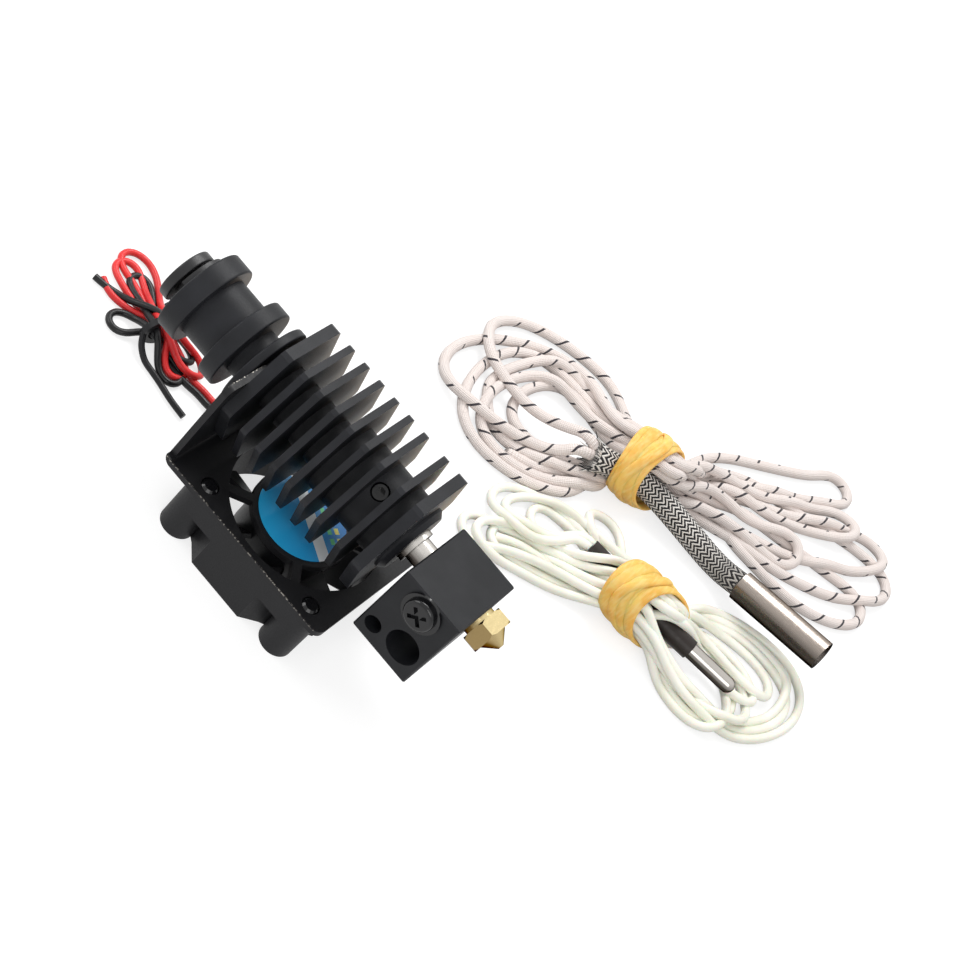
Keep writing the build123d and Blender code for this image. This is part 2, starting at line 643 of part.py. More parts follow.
def fan_pcb():
    """Round circuit board under the hub plate."""
    board = rod_z(PCB_R, HUB_END - PCB_THICK, HUB_END, FAN_CENTRE_X)
    return board - rod_z(BEARING_TUBE_R + RUN_CLEAR, HUB_END - PCB_THICK, HUB_END, FAN_CENTRE_X)


def fan_stator():
    """Four-pole lamination stack pressed on the bearing tube."""
    low = STATOR_TOP - STATOR_THICK
    mid = STATOR_TOP - STATOR_THICK / 2
    core = rod_z(BEARING_TUBE_R + STATOR_CORE_WALL, low, STATOR_TOP)
    for turn in range(POLE_COUNT):
        pole = Box(STATOR_R, POLE_WIDTH, POLE_HEIGHT, align=(Align.MIN, Align.CENTER, Align.CENTER))
        shoe = rod_z(STATOR_R, mid - POLE_HEIGHT / 2, mid + POLE_HEIGHT / 2)
        shoe -= rod_z(STATOR_R - STATOR_SHOE, low, STATOR_TOP)
        shoe &= Pos(0, 0, mid) * Box(
            STATOR_R, STATOR_SHOE_SPAN, STATOR_THICK, align=(Align.MIN, Align.CENTER, Align.CENTER))
        core += Rot(0, 0, 360 / POLE_COUNT * turn) * (Pos(0, 0, mid) * pole + shoe)
    core &= rod_z(STATOR_R, low, STATOR_TOP)
    return Pos(FAN_CENTRE_X, 0, 0) * (core - rod_z(BEARING_TUBE_R, low, STATOR_TOP))


def fan_coils():
    """One copper winding round each pole."""
    mid = STATOR_TOP - STATOR_THICK / 2
    start = BEARING_TUBE_R + STATOR_CORE_WALL + COIL_CLEAR
    width = STATOR_R - STATOR_SHOE - COIL_END_GAP - start
    coils = []
    for turn in range(POLE_COUNT):
        coil = Box(width, COIL_WIDTH, STATOR_THICK, align=(Align.MIN, Align.CENTER, Align.CENTER))
        coil -= Box(width, POLE_WIDTH + 2 * COIL_CLEAR, POLE_HEIGHT + 2 * COIL_CLEAR,
                    align=(Align.MIN, Align.CENTER, Align.CENTER))
        coils.append(Pos(FAN_CENTRE_X, 0, mid) * Rot(0, 0, 360 / POLE_COUNT * turn) * Pos(start, 0, 0) * coil)
    return Compound(children=coils)


def fan_bearing():
    """Bronze sleeve bearing in the frame's tube."""
    low = ROTOR_END + 2 * ROTOR_WALL
    return rod_z(BEARING_R, low, HUB_END - BEARING_CAP, FAN_CENTRE_X) - rod_z(
        SHAFT_R + SHAFT_CLEAR, low, HUB_END - BEARING_CAP, FAN_CENTRE_X)


def fan_rotor():
    """Cup-shaped hub with seven pitched blades."""
    cup = rod_z(ROTOR_R, ROTOR_END, ROTOR_TOP)
    cup = fillet(cup.edges().group_by(Axis.Z)[0], CUP_ROUND)
    cup -= rod_z(ROTOR_R - ROTOR_WALL, ROTOR_END + ROTOR_WALL, ROTOR_TOP)
    cup -= rod_z(SHAFT_R, ROTOR_END + ROTOR_WALL / 2, ROTOR_TOP)
    tip = FAN_DUCT_R - BLADE_TIP_CLEAR
    mid = (ROTOR_TOP + ROTOR_END) / 2
    for turn in range(BLADE_COUNT):
        faces = []
        for radius, pitch in ((ROTOR_R - BLADE_ROOT_SINK, BLADE_PITCH), (tip + 1, BLADE_PITCH - BLADE_TWIST)):
            plane = Plane(origin=(radius, 0, mid), x_dir=(0, cos(radians(pitch)), sin(radians(pitch))),
                          z_dir=(1, 0, 0))
            faces.append(plane * Rectangle(2 * BLADE_HALF_CHORD, BLADE_THICK))
        blade = loft(faces, ruled=True)
        blade &= rod_z(tip, ROTOR_END + BLADE_ABOVE, ROTOR_TOP - BLADE_ABOVE / 3)
        cup += Rot(0, 0, BLADE_START + 360 / BLADE_COUNT * turn) * blade
    return Pos(FAN_CENTRE_X, 0, 0) * cup


def fan_magnet_ring():
    """Ring magnet inside the rotor cup."""
    outer = ROTOR_R - ROTOR_WALL
    low, high = ROTOR_END + ROTOR_WALL + MAGNET_INSET, ROTOR_TOP - MAGNET_INSET
    return rod_z(outer, low, high, FAN_CENTRE_X) - rod_z(outer - MAGNET_THICK, low, high, FAN_CENTRE_X)


def fan_shaft():
    """Steel shaft fixed in the rotor and turning in the bearing."""
    return rod_z(SHAFT_R, ROTOR_END + ROTOR_WALL / 2, HUB_END - SHAFT_CAP, FAN_CENTRE_X)


def fan_screws():
    """Four screws, heads sunk in the posts' backs, whose ends stand just out of the bracket's plate."""
    head_low = FLOOR + FAN_HEAD_SINK
    head_high = head_low + FAN_HEAD_LEN
    shank = rod_z(M3_R, head_high, FAN_SCREW_PROUD - PLATE_DEPTH)
    shank = chamfer(shank.edges().group_by(Axis.Z)[-1], M3_END_CHAMFER)
    cross = Box(CROSS_SPAN, CROSS_WIDTH, FAN_HEAD_LEN) + Box(CROSS_WIDTH, CROSS_SPAN, FAN_HEAD_LEN)
    screw = rod_z(FAN_HEAD_R, head_low, head_high) + shank - Pos(0, 0, head_low) * cross
    return Compound(children=[Pos(x, y, 0) * screw for x, y in fan_holes()])


# ---------------------------------------------------------------- heater
def heater_sheath():
    """Steel tube of the heater cartridge, open at its tip."""
    tube = rod_along(HEATER_R, CARTRIDGE_BASE, CARTRIDGE_DIR, CARTRIDGE_LEN)
    return tube - rod_along(HEATER_R - CARTRIDGE_WALL, CARTRIDGE_BASE, CARTRIDGE_DIR, CARTRIDGE_LEN)


def heater_core():
    """Ceramic filling, set back from the open tip."""
    start = Vector(*CARTRIDGE_BASE) + Vector(*CARTRIDGE_DIR) * 0.2
    return rod_along(HEATER_R - CARTRIDGE_WALL, start, CARTRIDGE_DIR, CARTRIDGE_LEN - CERAMIC_RECESS - 0.2)


def sleeve_route():
    """Centre line of the braided sleeve, ending square on the cartridge."""
    return [*SLEEVE_POINTS, CARTRIDGE_BASE]


def heater_sleeve():
    """Braided sleeve over the two heater leads."""
    return routed_tube("heater_sleeve", sleeve_route(), SLEEVE_R)


def heater_lead_hank():
    """Outer shape of the heater's two leads, folded into a hank."""
    centre = FLOOR + BAND_THICK + HEATER_BAND_B
    middle = waist(HEATER_BAND_AT, HEATER_BAND_ANGLE, HEATER_BAND_A - FIT, HEATER_BAND_B - FIT,
                   HEATER_BAND_WIDTH / 2 + 0.6, centre)
    body = hank(HEATER_HANK_LEFT, middle, HEATER_HANK_RIGHT)
    return body - routed_tube("room for the sleeve", sleeve_route(), SLEEVE_R + FIT)


def heater_band():
    """Rubber band wound round the heater's hank."""
    return band_ring(HEATER_BAND_AT, HEATER_BAND_ANGLE, HEATER_BAND_A, HEATER_BAND_B, HEATER_BAND_WIDTH)


# ---------------------------------------------------------------- thermistor
def probe_direction():
    """Unit vector from the shrink tube to the probe's tip."""
    return (Vector(*PROBE_TIP) - Vector(*PROBE_SHRINK)).normalized()


def thermistor_sheath():
    """Thin steel tube with a domed tip."""
    along = probe_direction()
    start = Vector(*PROBE_TIP) - along * PROBE_LEN
    tube = rod_along(THERMISTOR_R, start, along, PROBE_LEN - THERMISTOR_R)
    tube += Pos(*(Vector(*PROBE_TIP) - along * THERMISTOR_R)) * Sphere(THERMISTOR_R)
    return tube - rod_along(THERMISTOR_R - PROBE_WALL, start, along, PROBE_LEN - THERMISTOR_R)


def thermistor_bead():
    """Glass bead at the closed end of the probe, on its two thin wires."""
    along = probe_direction()
    start = Vector(*PROBE_TIP) - along * (PROBE_LEN - 0.5)
    bead = Pos(*(Vector(*PROBE_TIP) - along * (THERMISTOR_R + 1.0))) * Sphere(1.0)
    return bead + rod_along(0.5, start, along, PROBE_LEN - THERMISTOR_R - 2)


def thermistor_shrink():
    """Black shrink tube over the joint of probe and leads."""
    along = probe_direction()
    joint = Vector(*PROBE_TIP) - along * PROBE_LEN
    body = rod_along(SHRINK_R, joint, along, (Vector(*PROBE_SHRINK) - joint).length)
    tail = Vector(*SHRINK_START) - joint
    body += Pos(*joint) * Sphere(SHRINK_R) + rod_along(SHRINK_R, joint, tail, tail.length)
    return body - rod_along(THERMISTOR_R, joint, along, PROBE_LEN)


def thermistor_lead_hank():
    """Outer shape of the thermistor's two leads, folded into a hank."""
    centre = FLOOR + BAND_THICK + PROBE_BAND_B
    middle = waist(PROBE_BAND_AT, PROBE_BAND_ANGLE, PROBE_BAND_A - FIT, PROBE_BAND_B - FIT,
                   PROBE_BAND_WIDTH / 2 + 0.6, centre)
    body = hank(PROBE_HANK_LEFT, middle, PROBE_HANK_RIGHT)
    joint = Vector(*PROBE_TIP) - probe_direction() * PROBE_LEN
    ahead = Vector(*PROBE_TIP) + probe_direction()
    for start, end in ((Vector(*SHRINK_START), joint), (joint, ahead)):
        run = end - start
        body -= rod_along(SHRINK_R + FIT, start, run, run.length + 1)
    return body


def thermistor_band():
    """Rubber band wound round the thermistor's hank."""
    return band_ring(PROBE_BAND_AT, PROBE_BAND_ANGLE, PROBE_BAND_A, PROBE_BAND_B, PROBE_BAND_WIDTH)


# ---------------------------------------------------------------- fan lead
def fan_lead(name, side):
    """One insulated wire from the fan's frame to its hank."""
    y = LEAD_EXIT_Y + side * LEAD_SPACING / 2
    points = [
        (FAN_FRONT_X, y, PLATE_BACK - LEAD_EXIT_BELOW),
        (FAN_FRONT_X - LEAD_STRAIGHT, y, PLATE_BACK - LEAD_EXIT_BELOW),
        (FAN_FRONT_X - LEAD_DROP_AT, y + LEAD_DRIFT / 2, FLOOR + LEAD_DROP_HEIGHT),
        (FAN_FRONT_X - LEAD_DOWN_AT, y + LEAD_DRIFT, FLOOR + LEAD_R + LEAD_REST + LEAD_LIFT),
        (LEAD_END_X, y + LEAD_DRIFT + LEAD_REST, FLOOR + LEAD_R + LEAD_REST),
    ]
    return routed_tube(name, points, LEAD_R)


def fan_lead_hank():
    """Outer shape of the fan's two wires, folded into a small hank."""
    middle = waist(TIE_AT, TIE_ANGLE, TIE_A - FIT, TIE_B - FIT, TIE_R + 0.8, FLOOR + TIE_B + 2 * TIE_R)
    return hank(FAN_HANK_LEFT, middle, FAN_HANK_RIGHT)


def fan_lead_tie():
    """Round tie closed about the waist of the fan's hank, with its tail lying along the floor."""
    centre = FLOOR + TIE_B + 2 * TIE_R
    plane = on_floor(TIE_AT, TIE_ANGLE, centre)
    outer = Ellipse(TIE_A + 2 * TIE_R, TIE_B + 2 * TIE_R)
    ring = extrude(plane * (outer - Ellipse(TIE_A, TIE_B)), TIE_R, both=True)
    return ring + routed_tube("fan_lead_tie tail", TIE_TAIL, TIE_R)


NODES = {
    "heatsink": heatsink,
    "heatbreak_set_screw": heatbreak_set_screw,
    "coupler_insert": coupler_insert,
    "collet": collet,
    "collet_clip": collet_clip,
    "ptfe_liner": ptfe_liner,
    "heatbreak": heatbreak,
    "heater_block": heater_block,
    "block_washer": block_washer,
    "block_screw": block_screw,
    "nozzle": nozzle,
    "fan_bracket": fan_bracket,
    "fan_frame": fan_frame,
    "fan_label": fan_label,
    "fan_pcb": fan_pcb,
    "fan_stator": fan_stator,
    "fan_coils": fan_coils,
    "fan_bearing": fan_bearing,
    "fan_rotor": fan_rotor,
    "fan_magnet_ring": fan_magnet_ring,
    "fan_shaft": fan_shaft,
    "fan_screws": fan_screws,
    "heater_sheath": heater_sheath,
    "heater_core": heater_core,
    "heater_sleeve": heater_sleeve,
    "heater_lead_hank": heater_lead_hank,
    "heater_band": heater_band,
    "thermistor_sheath": thermistor_sheath,
    "thermistor_bead": thermistor_bead,
    "thermistor_shrink": thermistor_shrink,
    "thermistor_lead_hank": thermistor_lead_hank,
    "thermistor_band": thermistor_band,
    "fan_lead_red": lambda: fan_lead("fan_lead_red", 1),
    "fan_lead_black": lambda: fan_lead("fan_lead_black", -1),
    "fan_lead_hank": fan_lead_hank,
    "fan_lead_tie": fan_lead_tie,
}

os.makedirs("parts", exist_ok=True)
for node, make in NODES.items():
    export_step(make(), f"parts/{node}.step")
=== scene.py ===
"""Looks of a desktop 3-D printer's hotend, with its heater and thermistor lying beside it.

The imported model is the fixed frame. Its pieces keep their shapes and get finishes here, and the soft and
fine pieces (leads, rubber bands, braided sleeve) are built over it. Sizes are in millimetres and are
turned to metres by metres(). X runs along the filament path towards the nozzle and Z is up.
"""

import logging
import math
import random
from dataclasses import dataclass
from typing import Iterable, Sequence

import bmesh
import bpy
import numpy as np
from mathutils import Matrix, Vector

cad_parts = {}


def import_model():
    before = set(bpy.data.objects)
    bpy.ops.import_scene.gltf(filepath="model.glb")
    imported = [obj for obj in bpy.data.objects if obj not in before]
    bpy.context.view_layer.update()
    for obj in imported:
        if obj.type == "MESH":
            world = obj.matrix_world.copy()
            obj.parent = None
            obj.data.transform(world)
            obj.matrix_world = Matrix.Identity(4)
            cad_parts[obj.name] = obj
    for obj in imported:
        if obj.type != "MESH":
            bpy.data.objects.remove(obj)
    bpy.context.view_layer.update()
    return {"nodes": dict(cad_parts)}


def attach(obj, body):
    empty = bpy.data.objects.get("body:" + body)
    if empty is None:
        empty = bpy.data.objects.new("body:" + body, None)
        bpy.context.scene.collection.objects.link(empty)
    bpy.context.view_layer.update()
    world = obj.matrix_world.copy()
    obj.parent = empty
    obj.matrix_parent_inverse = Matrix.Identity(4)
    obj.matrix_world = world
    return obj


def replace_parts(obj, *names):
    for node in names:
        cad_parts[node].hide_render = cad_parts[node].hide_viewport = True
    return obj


log = logging.getLogger("hotend")
Socket = bpy.types.NodeSocket

MM = 0.001
FLOOR_Z = -24.6
ROOT = "hotend"
WHITE = "ffffff"
OVERSHOOT = 1.4


def metres(point: Sequence[float]) -> Vector:
    """A point given in millimetres, in metres."""
    return Vector(point) * MM


def linear(hex_colour: str) -> tuple[float, float, float, float]:
    """An sRGB hex colour as linear RGBA.

    Args:
        hex_colour: six hex digits, such as "f2e9dc".

    Returns:
        The linear colour with an alpha of 1.
    """
    shares = [int(hex_colour[i:i + 2], 16) / 255 for i in (0, 2, 4)]
    return (*[c / 12.92 if c <= 0.04045 else ((c + 0.055) / 1.055) ** 2.4 for c in shares], 1.0)


# ---------------------------------------------------------------- node trees
class Nodes:
    """A node tree, with one way to add to it."""

    def __init__(self, owner: bpy.types.ID) -> None:
        """Empties a node tree to build on.

        Args:
            owner: the material or world that it belongs to.
        """
        owner.use_nodes = True
        self.tree = owner.node_tree
        self.tree.nodes.clear()

    def add(self, kind: str, *inputs: object, out: str = "", **more: object) -> Socket | None:
        """Adds a node with its settings and links.

        Args:
            kind: the node's type name after "ShaderNode".
            inputs: what the sockets in use get in their order: a number, a vector, a colour as hex digits, or
                an output socket to link from.
            out: the wanted output's name, if it isn't the first one in use.
            more: settings of the node, and sockets by name with underscores for spaces.

        Returns:
            The wanted output, if the node has any.
        """
        node = self.tree.nodes.new(f"ShaderNode{kind}")
        for name in [name for name in more if hasattr(node, name)]:
            setattr(node, name, more.pop(name))
        named = [(node.inputs[name.replace("_", " ")], value) for name, value in more.items()]
        for socket, value in [*zip([s for s in node.inputs if s.enabled], inputs), *named]:
            if isinstance(value, Socket):
                self.tree.links.new(value, socket)
            else:
                socket.default_value = linear(value) if isinstance(value, str) else value
        return node.outputs[out] if out else next((s for s in node.outputs if s.enabled), None)

    def seen(self) -> Socket:
        """Which rays see a backdrop as it is.

        Returns:
            1 for rays from the camera, a mirror or clear matter, and 0 for all others.
        """
        seen = self.add("LightPath", out="Is Camera Ray")
        for ray in ("Is Glossy Ray", "Is Transmission Ray"):
            seen = self.add("Math", seen, self.add("LightPath", out=ray), operation="MAXIMUM")
        return seen


class Recipe(Nodes):
    """One material's node tree."""

    def __init__(self, name: str) -> None:
        """Starts an empty material."""
        self.material = bpy.data.materials.new(name)
        super().__init__(self.material)

    def blotches(self, size_mm: float, detail: float = 2.0,
                 stretch: tuple[float, float, float] = (1.0, 1.0, 1.0)) -> Socket:
        """Noise whose blotches are about a real size across.

        Args:
            size_mm: width of one blotch.
            detail: octaves of finer noise.
            stretch: how many times longer a blotch is along each axis.

        Returns:
            The noise, from 0 to 1.
        """
        scale = tuple(1 / times for times in stretch)
        mapped = self.add("Mapping", self.add("TexCoord", out="Object"), Scale=scale)
        return self.add("TexNoise", Vector=mapped, Scale=1 / (size_mm * MM), Detail=detail)

    def around(self, length_mm: float, girth_mm: float) -> list[Socket]:
        """A cord's own coordinates from its UV map: millimetres along it and millimetres round it."""
        return [self.add("Math", self.add("SeparateXYZ", self.add("UVMap"), out=axis), size,
                         operation="MULTIPLY") for axis, size in (("X", length_mm), ("Y", girth_mm))]

    def layers(self, base: object, *coats: tuple) -> Socket:
        """A colour with others laid over it.

        Args:
            base: the first colour.
            coats: for each next one the colour, the pattern that it follows, and, if the pattern has to be
                mapped, from which values and to which shares.

        Returns:
            The mixed colour.
        """
        for colour, pattern, *span in coats:
            share = self.add("MapRange", pattern, *span) if span else pattern
            base = self.add("Mix", share, base, colour, data_type="RGBA")
        return base

    def off_line(self, value: Socket, line_mm: float) -> Socket:
        """How far a coordinate in metres is from a line across it, to either side."""
        off = self.add("Math", value, line_mm * MM, operation="SUBTRACT")
        return self.add("Math", off, operation="ABSOLUTE")

    def surface(self, relief: Socket | None = None, depth_mm: float = 0.0,
                **values: object) -> bpy.types.Material:
        """Ends the tree with its surface.

        Args:
            relief: the pattern that the surface's fine relief follows.
            depth_mm: the relief's depth.
            values: inputs of the shader. Two numbers for the roughness make it follow the relief.

        Returns:
            The finished material.
        """
        if isinstance(values["Roughness"], tuple):
            values["Roughness"] = self.add("MapRange", relief, 0.3, 0.7, *values["Roughness"])
        if depth_mm:
            values["Normal"] = self.add("Bump", Distance=depth_mm * MM, Height=relief)
        self.add("OutputMaterial", self.add("BsdfPrincipled", **values))
        return self.material


# ---------------------------------------------------------------- finishes
@dataclass(frozen=True)
class BlackAnodised:
    """Aluminium, blasted and anodised black: an even soft charcoal with a fine dry grain."""

    name: str = "black_anodised_aluminium"
    colour: str = "17181b"
    worn: str = "212226"
    roughness: float = 0.48
    grain_mm: float = 0.18
    # colour of a warm reflection painted in on faces turned to the nozzle
    painted_reflection: str = "a8957f"

    def make(self) -> bpy.types.Material:
        """Builds the material.

        Returns:
            The finished material.
        """
        recipe = Recipe(self.name)
        # The last coat is a painted reflection, on faces turned to the nozzle at a flat angle.
        tint = recipe.layers(self.colour, (self.worn, recipe.blotches(5.0), 0.35, 0.7),
                             (self.painted_reflection, self.painted_reflection_share(recipe)))
        return recipe.surface(recipe.blotches(self.grain_mm, 3.0), 0.012, Base_Color=tint,
                              Specular_IOR_Level=0.22,
                              Roughness=(self.roughness - 0.06, self.roughness + 0.08))

    @staticmethod
    def painted_reflection_share(recipe: Recipe) -> Socket:
        """How much warm painted reflection shows: on faces turned to the nozzle, at a flat angle.

        Args:
            recipe: the material.

        Returns:
            The share of the painted reflection's colour.
        """
        ahead = recipe.add("SeparateXYZ", recipe.add("NewGeometry", out="Normal"), out="X")
        side = recipe.add("SeparateXYZ", recipe.add("TexCoord", out="Object"), out="Y")
        flat = recipe.add("LayerWeight", 0.5, out="Facing")
        share = recipe.add("MapRange", ahead, 0.9, 0.98)
        for pattern, low, high in ((flat, 0.55, 0.9), (side, -2 * MM, 11 * MM)):
            part = recipe.add("MapRange", pattern, low, high)
            share = recipe.add("Math", share, part, operation="MULTIPLY")
        return recipe.add("Math", share, 0.8, operation="MULTIPLY")


@dataclass(frozen=True)
class PlainCoat:
    """One even coat with fine grain, for the small pieces that hardly show."""

    name: str
    colour: str
    roughness: float
    metallic: float = 0.0
    grain_mm: float = 0.3
    depth_mm: float = 0.0
    specular: float = 0.5

    def make(self) -> bpy.types.Material:
        """Builds the material.

        Returns:
            The finished material.
        """
        recipe = Recipe(self.name)
        return recipe.surface(recipe.blotches(self.grain_mm), self.depth_mm, Base_Color=self.colour,
                              Metallic=self.metallic, Specular_IOR_Level=self.specular,
                              Roughness=(self.roughness - 0.05, self.roughness + 0.08))


@dataclass(frozen=True)
class BlackOxide(PlainCoat):
    """Steel screws blackened in a hot bath: darker and oilier than the aluminium beside them."""

    colour: str = "101012"
    roughness: float = 0.13
    grain_mm: float = 0.25
    depth_mm: float = 0.008
    specular: float = 0.4


@dataclass(frozen=True)
class TurnedMetal:
    """Bare metal turned or drawn along an axis: fine marks run round it, and its colour is painted
    darker where it faces sideways or down, a painted reflection of a darker room."""

    name: str
    colour: str
    roughness: float
    # colour of the painted shade where the metal faces sideways or down; also its gloss tint
    edge: str
    marks_mm: float = 0.1
    marks_depth_mm: float = 0.002
    long_axis: tuple[float, float, float] = (1.0, 12.0, 12.0)

    def make(self) -> bpy.types.Material:
        """Builds the material.

        Returns:
            The finished material.
        """
        recipe = Recipe(self.name)
        # Painted shade: the colour turns to the edge colour where the surface faces sideways or down.
        up = recipe.add("SeparateXYZ", recipe.add("NewGeometry", out="Normal"), out="Z")
        tint = recipe.layers(self.colour, (self.edge, up, 0.9, 0.1))
        return recipe.surface(recipe.blotches(self.marks_mm, 3.0, self.long_axis), self.marks_depth_mm,
                              Base_Color=tint, Metallic=1.0, Specular_Tint=self.edge,
                              Roughness=(self.roughness - 0.06, self.roughness + 0.08))


@dataclass(frozen=True)
class MouldedPlastic:
    """Injection-moulded plastic with a fine spark-eroded texture."""

    name: str
    colour: str
    roughness: float = 0.5
    grain_mm: float = 0.22
    grain_depth_mm: float = 0.01
    subsurface: float = 0.0
    specular: float = 0.25
    shade: str = "808080"

    def make(self) -> bpy.types.Material:
        """Builds the material.

        Returns:
            The finished material.
        """
        recipe = Recipe(self.name)
        cloud = recipe.add("MapRange", recipe.blotches(4.0), 0.3, 0.8, 0.0, 0.25)
        tint = recipe.add("Mix", cloud, self.colour, self.shade, data_type="RGBA", blend_type="SOFT_LIGHT")
        return recipe.surface(recipe.blotches(self.grain_mm), self.grain_depth_mm, Base_Color=tint,
                              Subsurface_Weight=self.subsurface, Subsurface_Scale=0.5 * MM,
                              Specular_IOR_Level=self.specular,
                              Roughness=(self.roughness - 0.05, self.roughness + 0.07))


@dataclass(frozen=True)
class SoftCover:
    """Smooth extruded cover of a lead, slightly see-through at its edges and a little uneven."""

    name: str
    colour: str
    deep: str
    roughness: float = 0.34
    subsurface: float = 0.25

    def make(self) -> bpy.types.Material:
        """Builds the material.

        Returns:
            The finished material.
        """
        recipe = Recipe(self.name)
        tint = recipe.layers(self.colour, (self.deep, recipe.blotches(7.0, 3.0), 0.4, 0.75))
        return recipe.surface(recipe.blotches(1.2), 0.02, Base_Color=tint, Subsurface_Weight=self.subsurface,
                              Subsurface_Scale=0.6 * MM, Specular_IOR_Level=0.35,
                              Roughness=(self.roughness - 0.06, self.roughness + 0.1))


@dataclass(frozen=True)
class NaturalRubber:
    """Amber rubber band, dusted with talc and slightly see-through, with faint lengthwise creases."""

    name: str
    colour: str = "f8c664"
    deep: str = "e9ad44"
    dust: str = "fde0a0"

    def make(self) -> bpy.types.Material:
        """Builds the material.

        Returns:
            The finished material.
        """
        recipe = Recipe(self.name)
        creases = recipe.blotches(0.5, 2.0, (1.0, 5.0, 5.0))
        tint = recipe.layers(self.colour, (self.deep, recipe.blotches(3.0), 0.35, 0.7),
                             (self.dust, creases, 0.45, 0.75, 0.0, 0.5))
        return recipe.surface(creases, 0.03, Base_Color=tint, Subsurface_Weight=0.35,
                              Subsurface_Scale=0.9 * MM, Roughness=(0.5, 0.66))


@dataclass(frozen=True)
class FibreglassLead:
    """Fibreglass braid over a heater lead: off-white yarns with one dark tracer in a long helix."""

    length_mm: float
    girth_mm: float
    name: str
    yarn: str = "f3ebe7"
    # painted shade in the weave's hollows between the yarns
    painted_hollow_shade: str = "d8cac3"
    stain: str = "eadcd5"
    tracer: str = "3a363b"
    cell_mm: float = 0.7
    tracer_pitch_mm: float = 5.2
    tracer_mm: float = 0.55
    tracer_drift_mm: float = 60.0
    dash_share: float = 0.5

    def make(self) -> bpy.types.Material:
        """Builds the material.

        Returns:
            The finished material.
        """
        recipe = Recipe(self.name)
        along, round_it = recipe.around(self.length_mm, self.girth_mm)
        waves = []
        for sign in (1.0, -1.0):
            slant = recipe.add("Math", along, recipe.add("Math", round_it, sign, operation="MULTIPLY"))
            slant = recipe.add("Math", slant, math.tau / self.cell_mm, operation="MULTIPLY")
            waves.append(recipe.add("Math", slant, operation="SINE"))
        weave = recipe.add("Math", *waves, operation="MULTIPLY")
        dash = self.dash(recipe, along, recipe.add("Math", round_it, self.girth_mm, operation="DIVIDE"))
        # The base colour is painted shade, which shows in the weave's hollows between the yarns.
        tint = recipe.layers(self.painted_hollow_shade, (self.yarn, weave, -0.9, 0.5),
                             (self.stain, recipe.blotches(3.0), 0.4, 0.75, 0.0, 0.5), (self.tracer, dash))
        relief = recipe.add("Math", weave, recipe.add("Math", dash, 0.8, operation="MULTIPLY"))
        return recipe.surface(relief, 0.06, Base_Color=tint, Roughness=0.75, Sheen_Weight=0.15,
                              Sheen_Roughness=0.5, Specular_IOR_Level=0.3)

    def dash(self, recipe: Recipe, along: Socket, turn: Socket) -> Socket:
        """Where the tracer shows: a line in a helix, which dips under the other yarns for part of each turn.

        Args:
            recipe: the material.
            along: millimetres along the lead.
            turn: share of a turn round it.

        Returns:
            1 on the tracer and 0 beside it.
        """
        helix = recipe.add("Math", recipe.add("Math", along, self.tracer_pitch_mm, operation="DIVIDE"), turn)
        middle = recipe.add("Math", recipe.add("Math", helix, operation="FRACT"), 0.5, operation="SUBTRACT")
        off = recipe.add("Math", middle, operation="ABSOLUTE")
        line = recipe.add("Math", off, self.tracer_mm / 2 / self.tracer_pitch_mm, operation="LESS_THAN")
        drift = recipe.add("Math", turn, recipe.add("Math", along, self.tracer_drift_mm, operation="DIVIDE"))
        beat = recipe.add("Math", recipe.add("Math", drift, operation="FRACT"), self.dash_share,
                          operation="LESS_THAN")
        return recipe.add("Math", line, beat, operation="MULTIPLY")


@dataclass(frozen=True)
class SleeveBraid:
    """Coarse black and white yarns braided over the heater's leads: a bold zigzag with fuzzy edges."""

    length_mm: float
    girth_mm: float
    name: str = "herringbone_fibreglass_sleeve"
    white: str = "e9e5e0"
    black: str = "1f1e20"
    soot: str = "6d6862"
    columns: float = 18.0
    pitch_mm: float = 1.0
    rise: float = 1.0
    soot_from_mm: float = 25.0

    def make(self) -> bpy.types.Material:
        """Builds the material.

        Returns:
            The finished material.
        """
        recipe = Recipe(self.name)
        along, round_it = recipe.around(self.length_mm, self.girth_mm)
        lane = recipe.add("Math", round_it, self.columns / self.girth_mm, operation="MULTIPLY")
        zig = recipe.add("Math", lane, 1.0, operation="PINGPONG")
        zig = recipe.add("Math", zig, self.rise, operation="MULTIPLY")
        phase = recipe.add("Math", recipe.add("Math", along, self.pitch_mm, operation="DIVIDE"), zig)
        phase = recipe.add("Math", phase, math.tau, operation="MULTIPLY")
        bare = recipe.add("Math", phase, operation="SINE")
        fuzz = recipe.add("MapRange", recipe.blotches(0.3), 0.3, 0.7, -0.6, 0.6)
        pale = recipe.layers(self.white, (self.soot, along, self.soot_from_mm, self.length_mm, 0.0, 0.6))
        tint = recipe.layers(self.black, (pale, recipe.add("Math", bare, fuzz), -0.05, 0.4))
        return recipe.surface(recipe.add("Math", bare, operation="ABSOLUTE"), 0.12, Base_Color=tint,
                              Roughness=0.8, Sheen_Weight=0.1, Specular_IOR_Level=0.25)


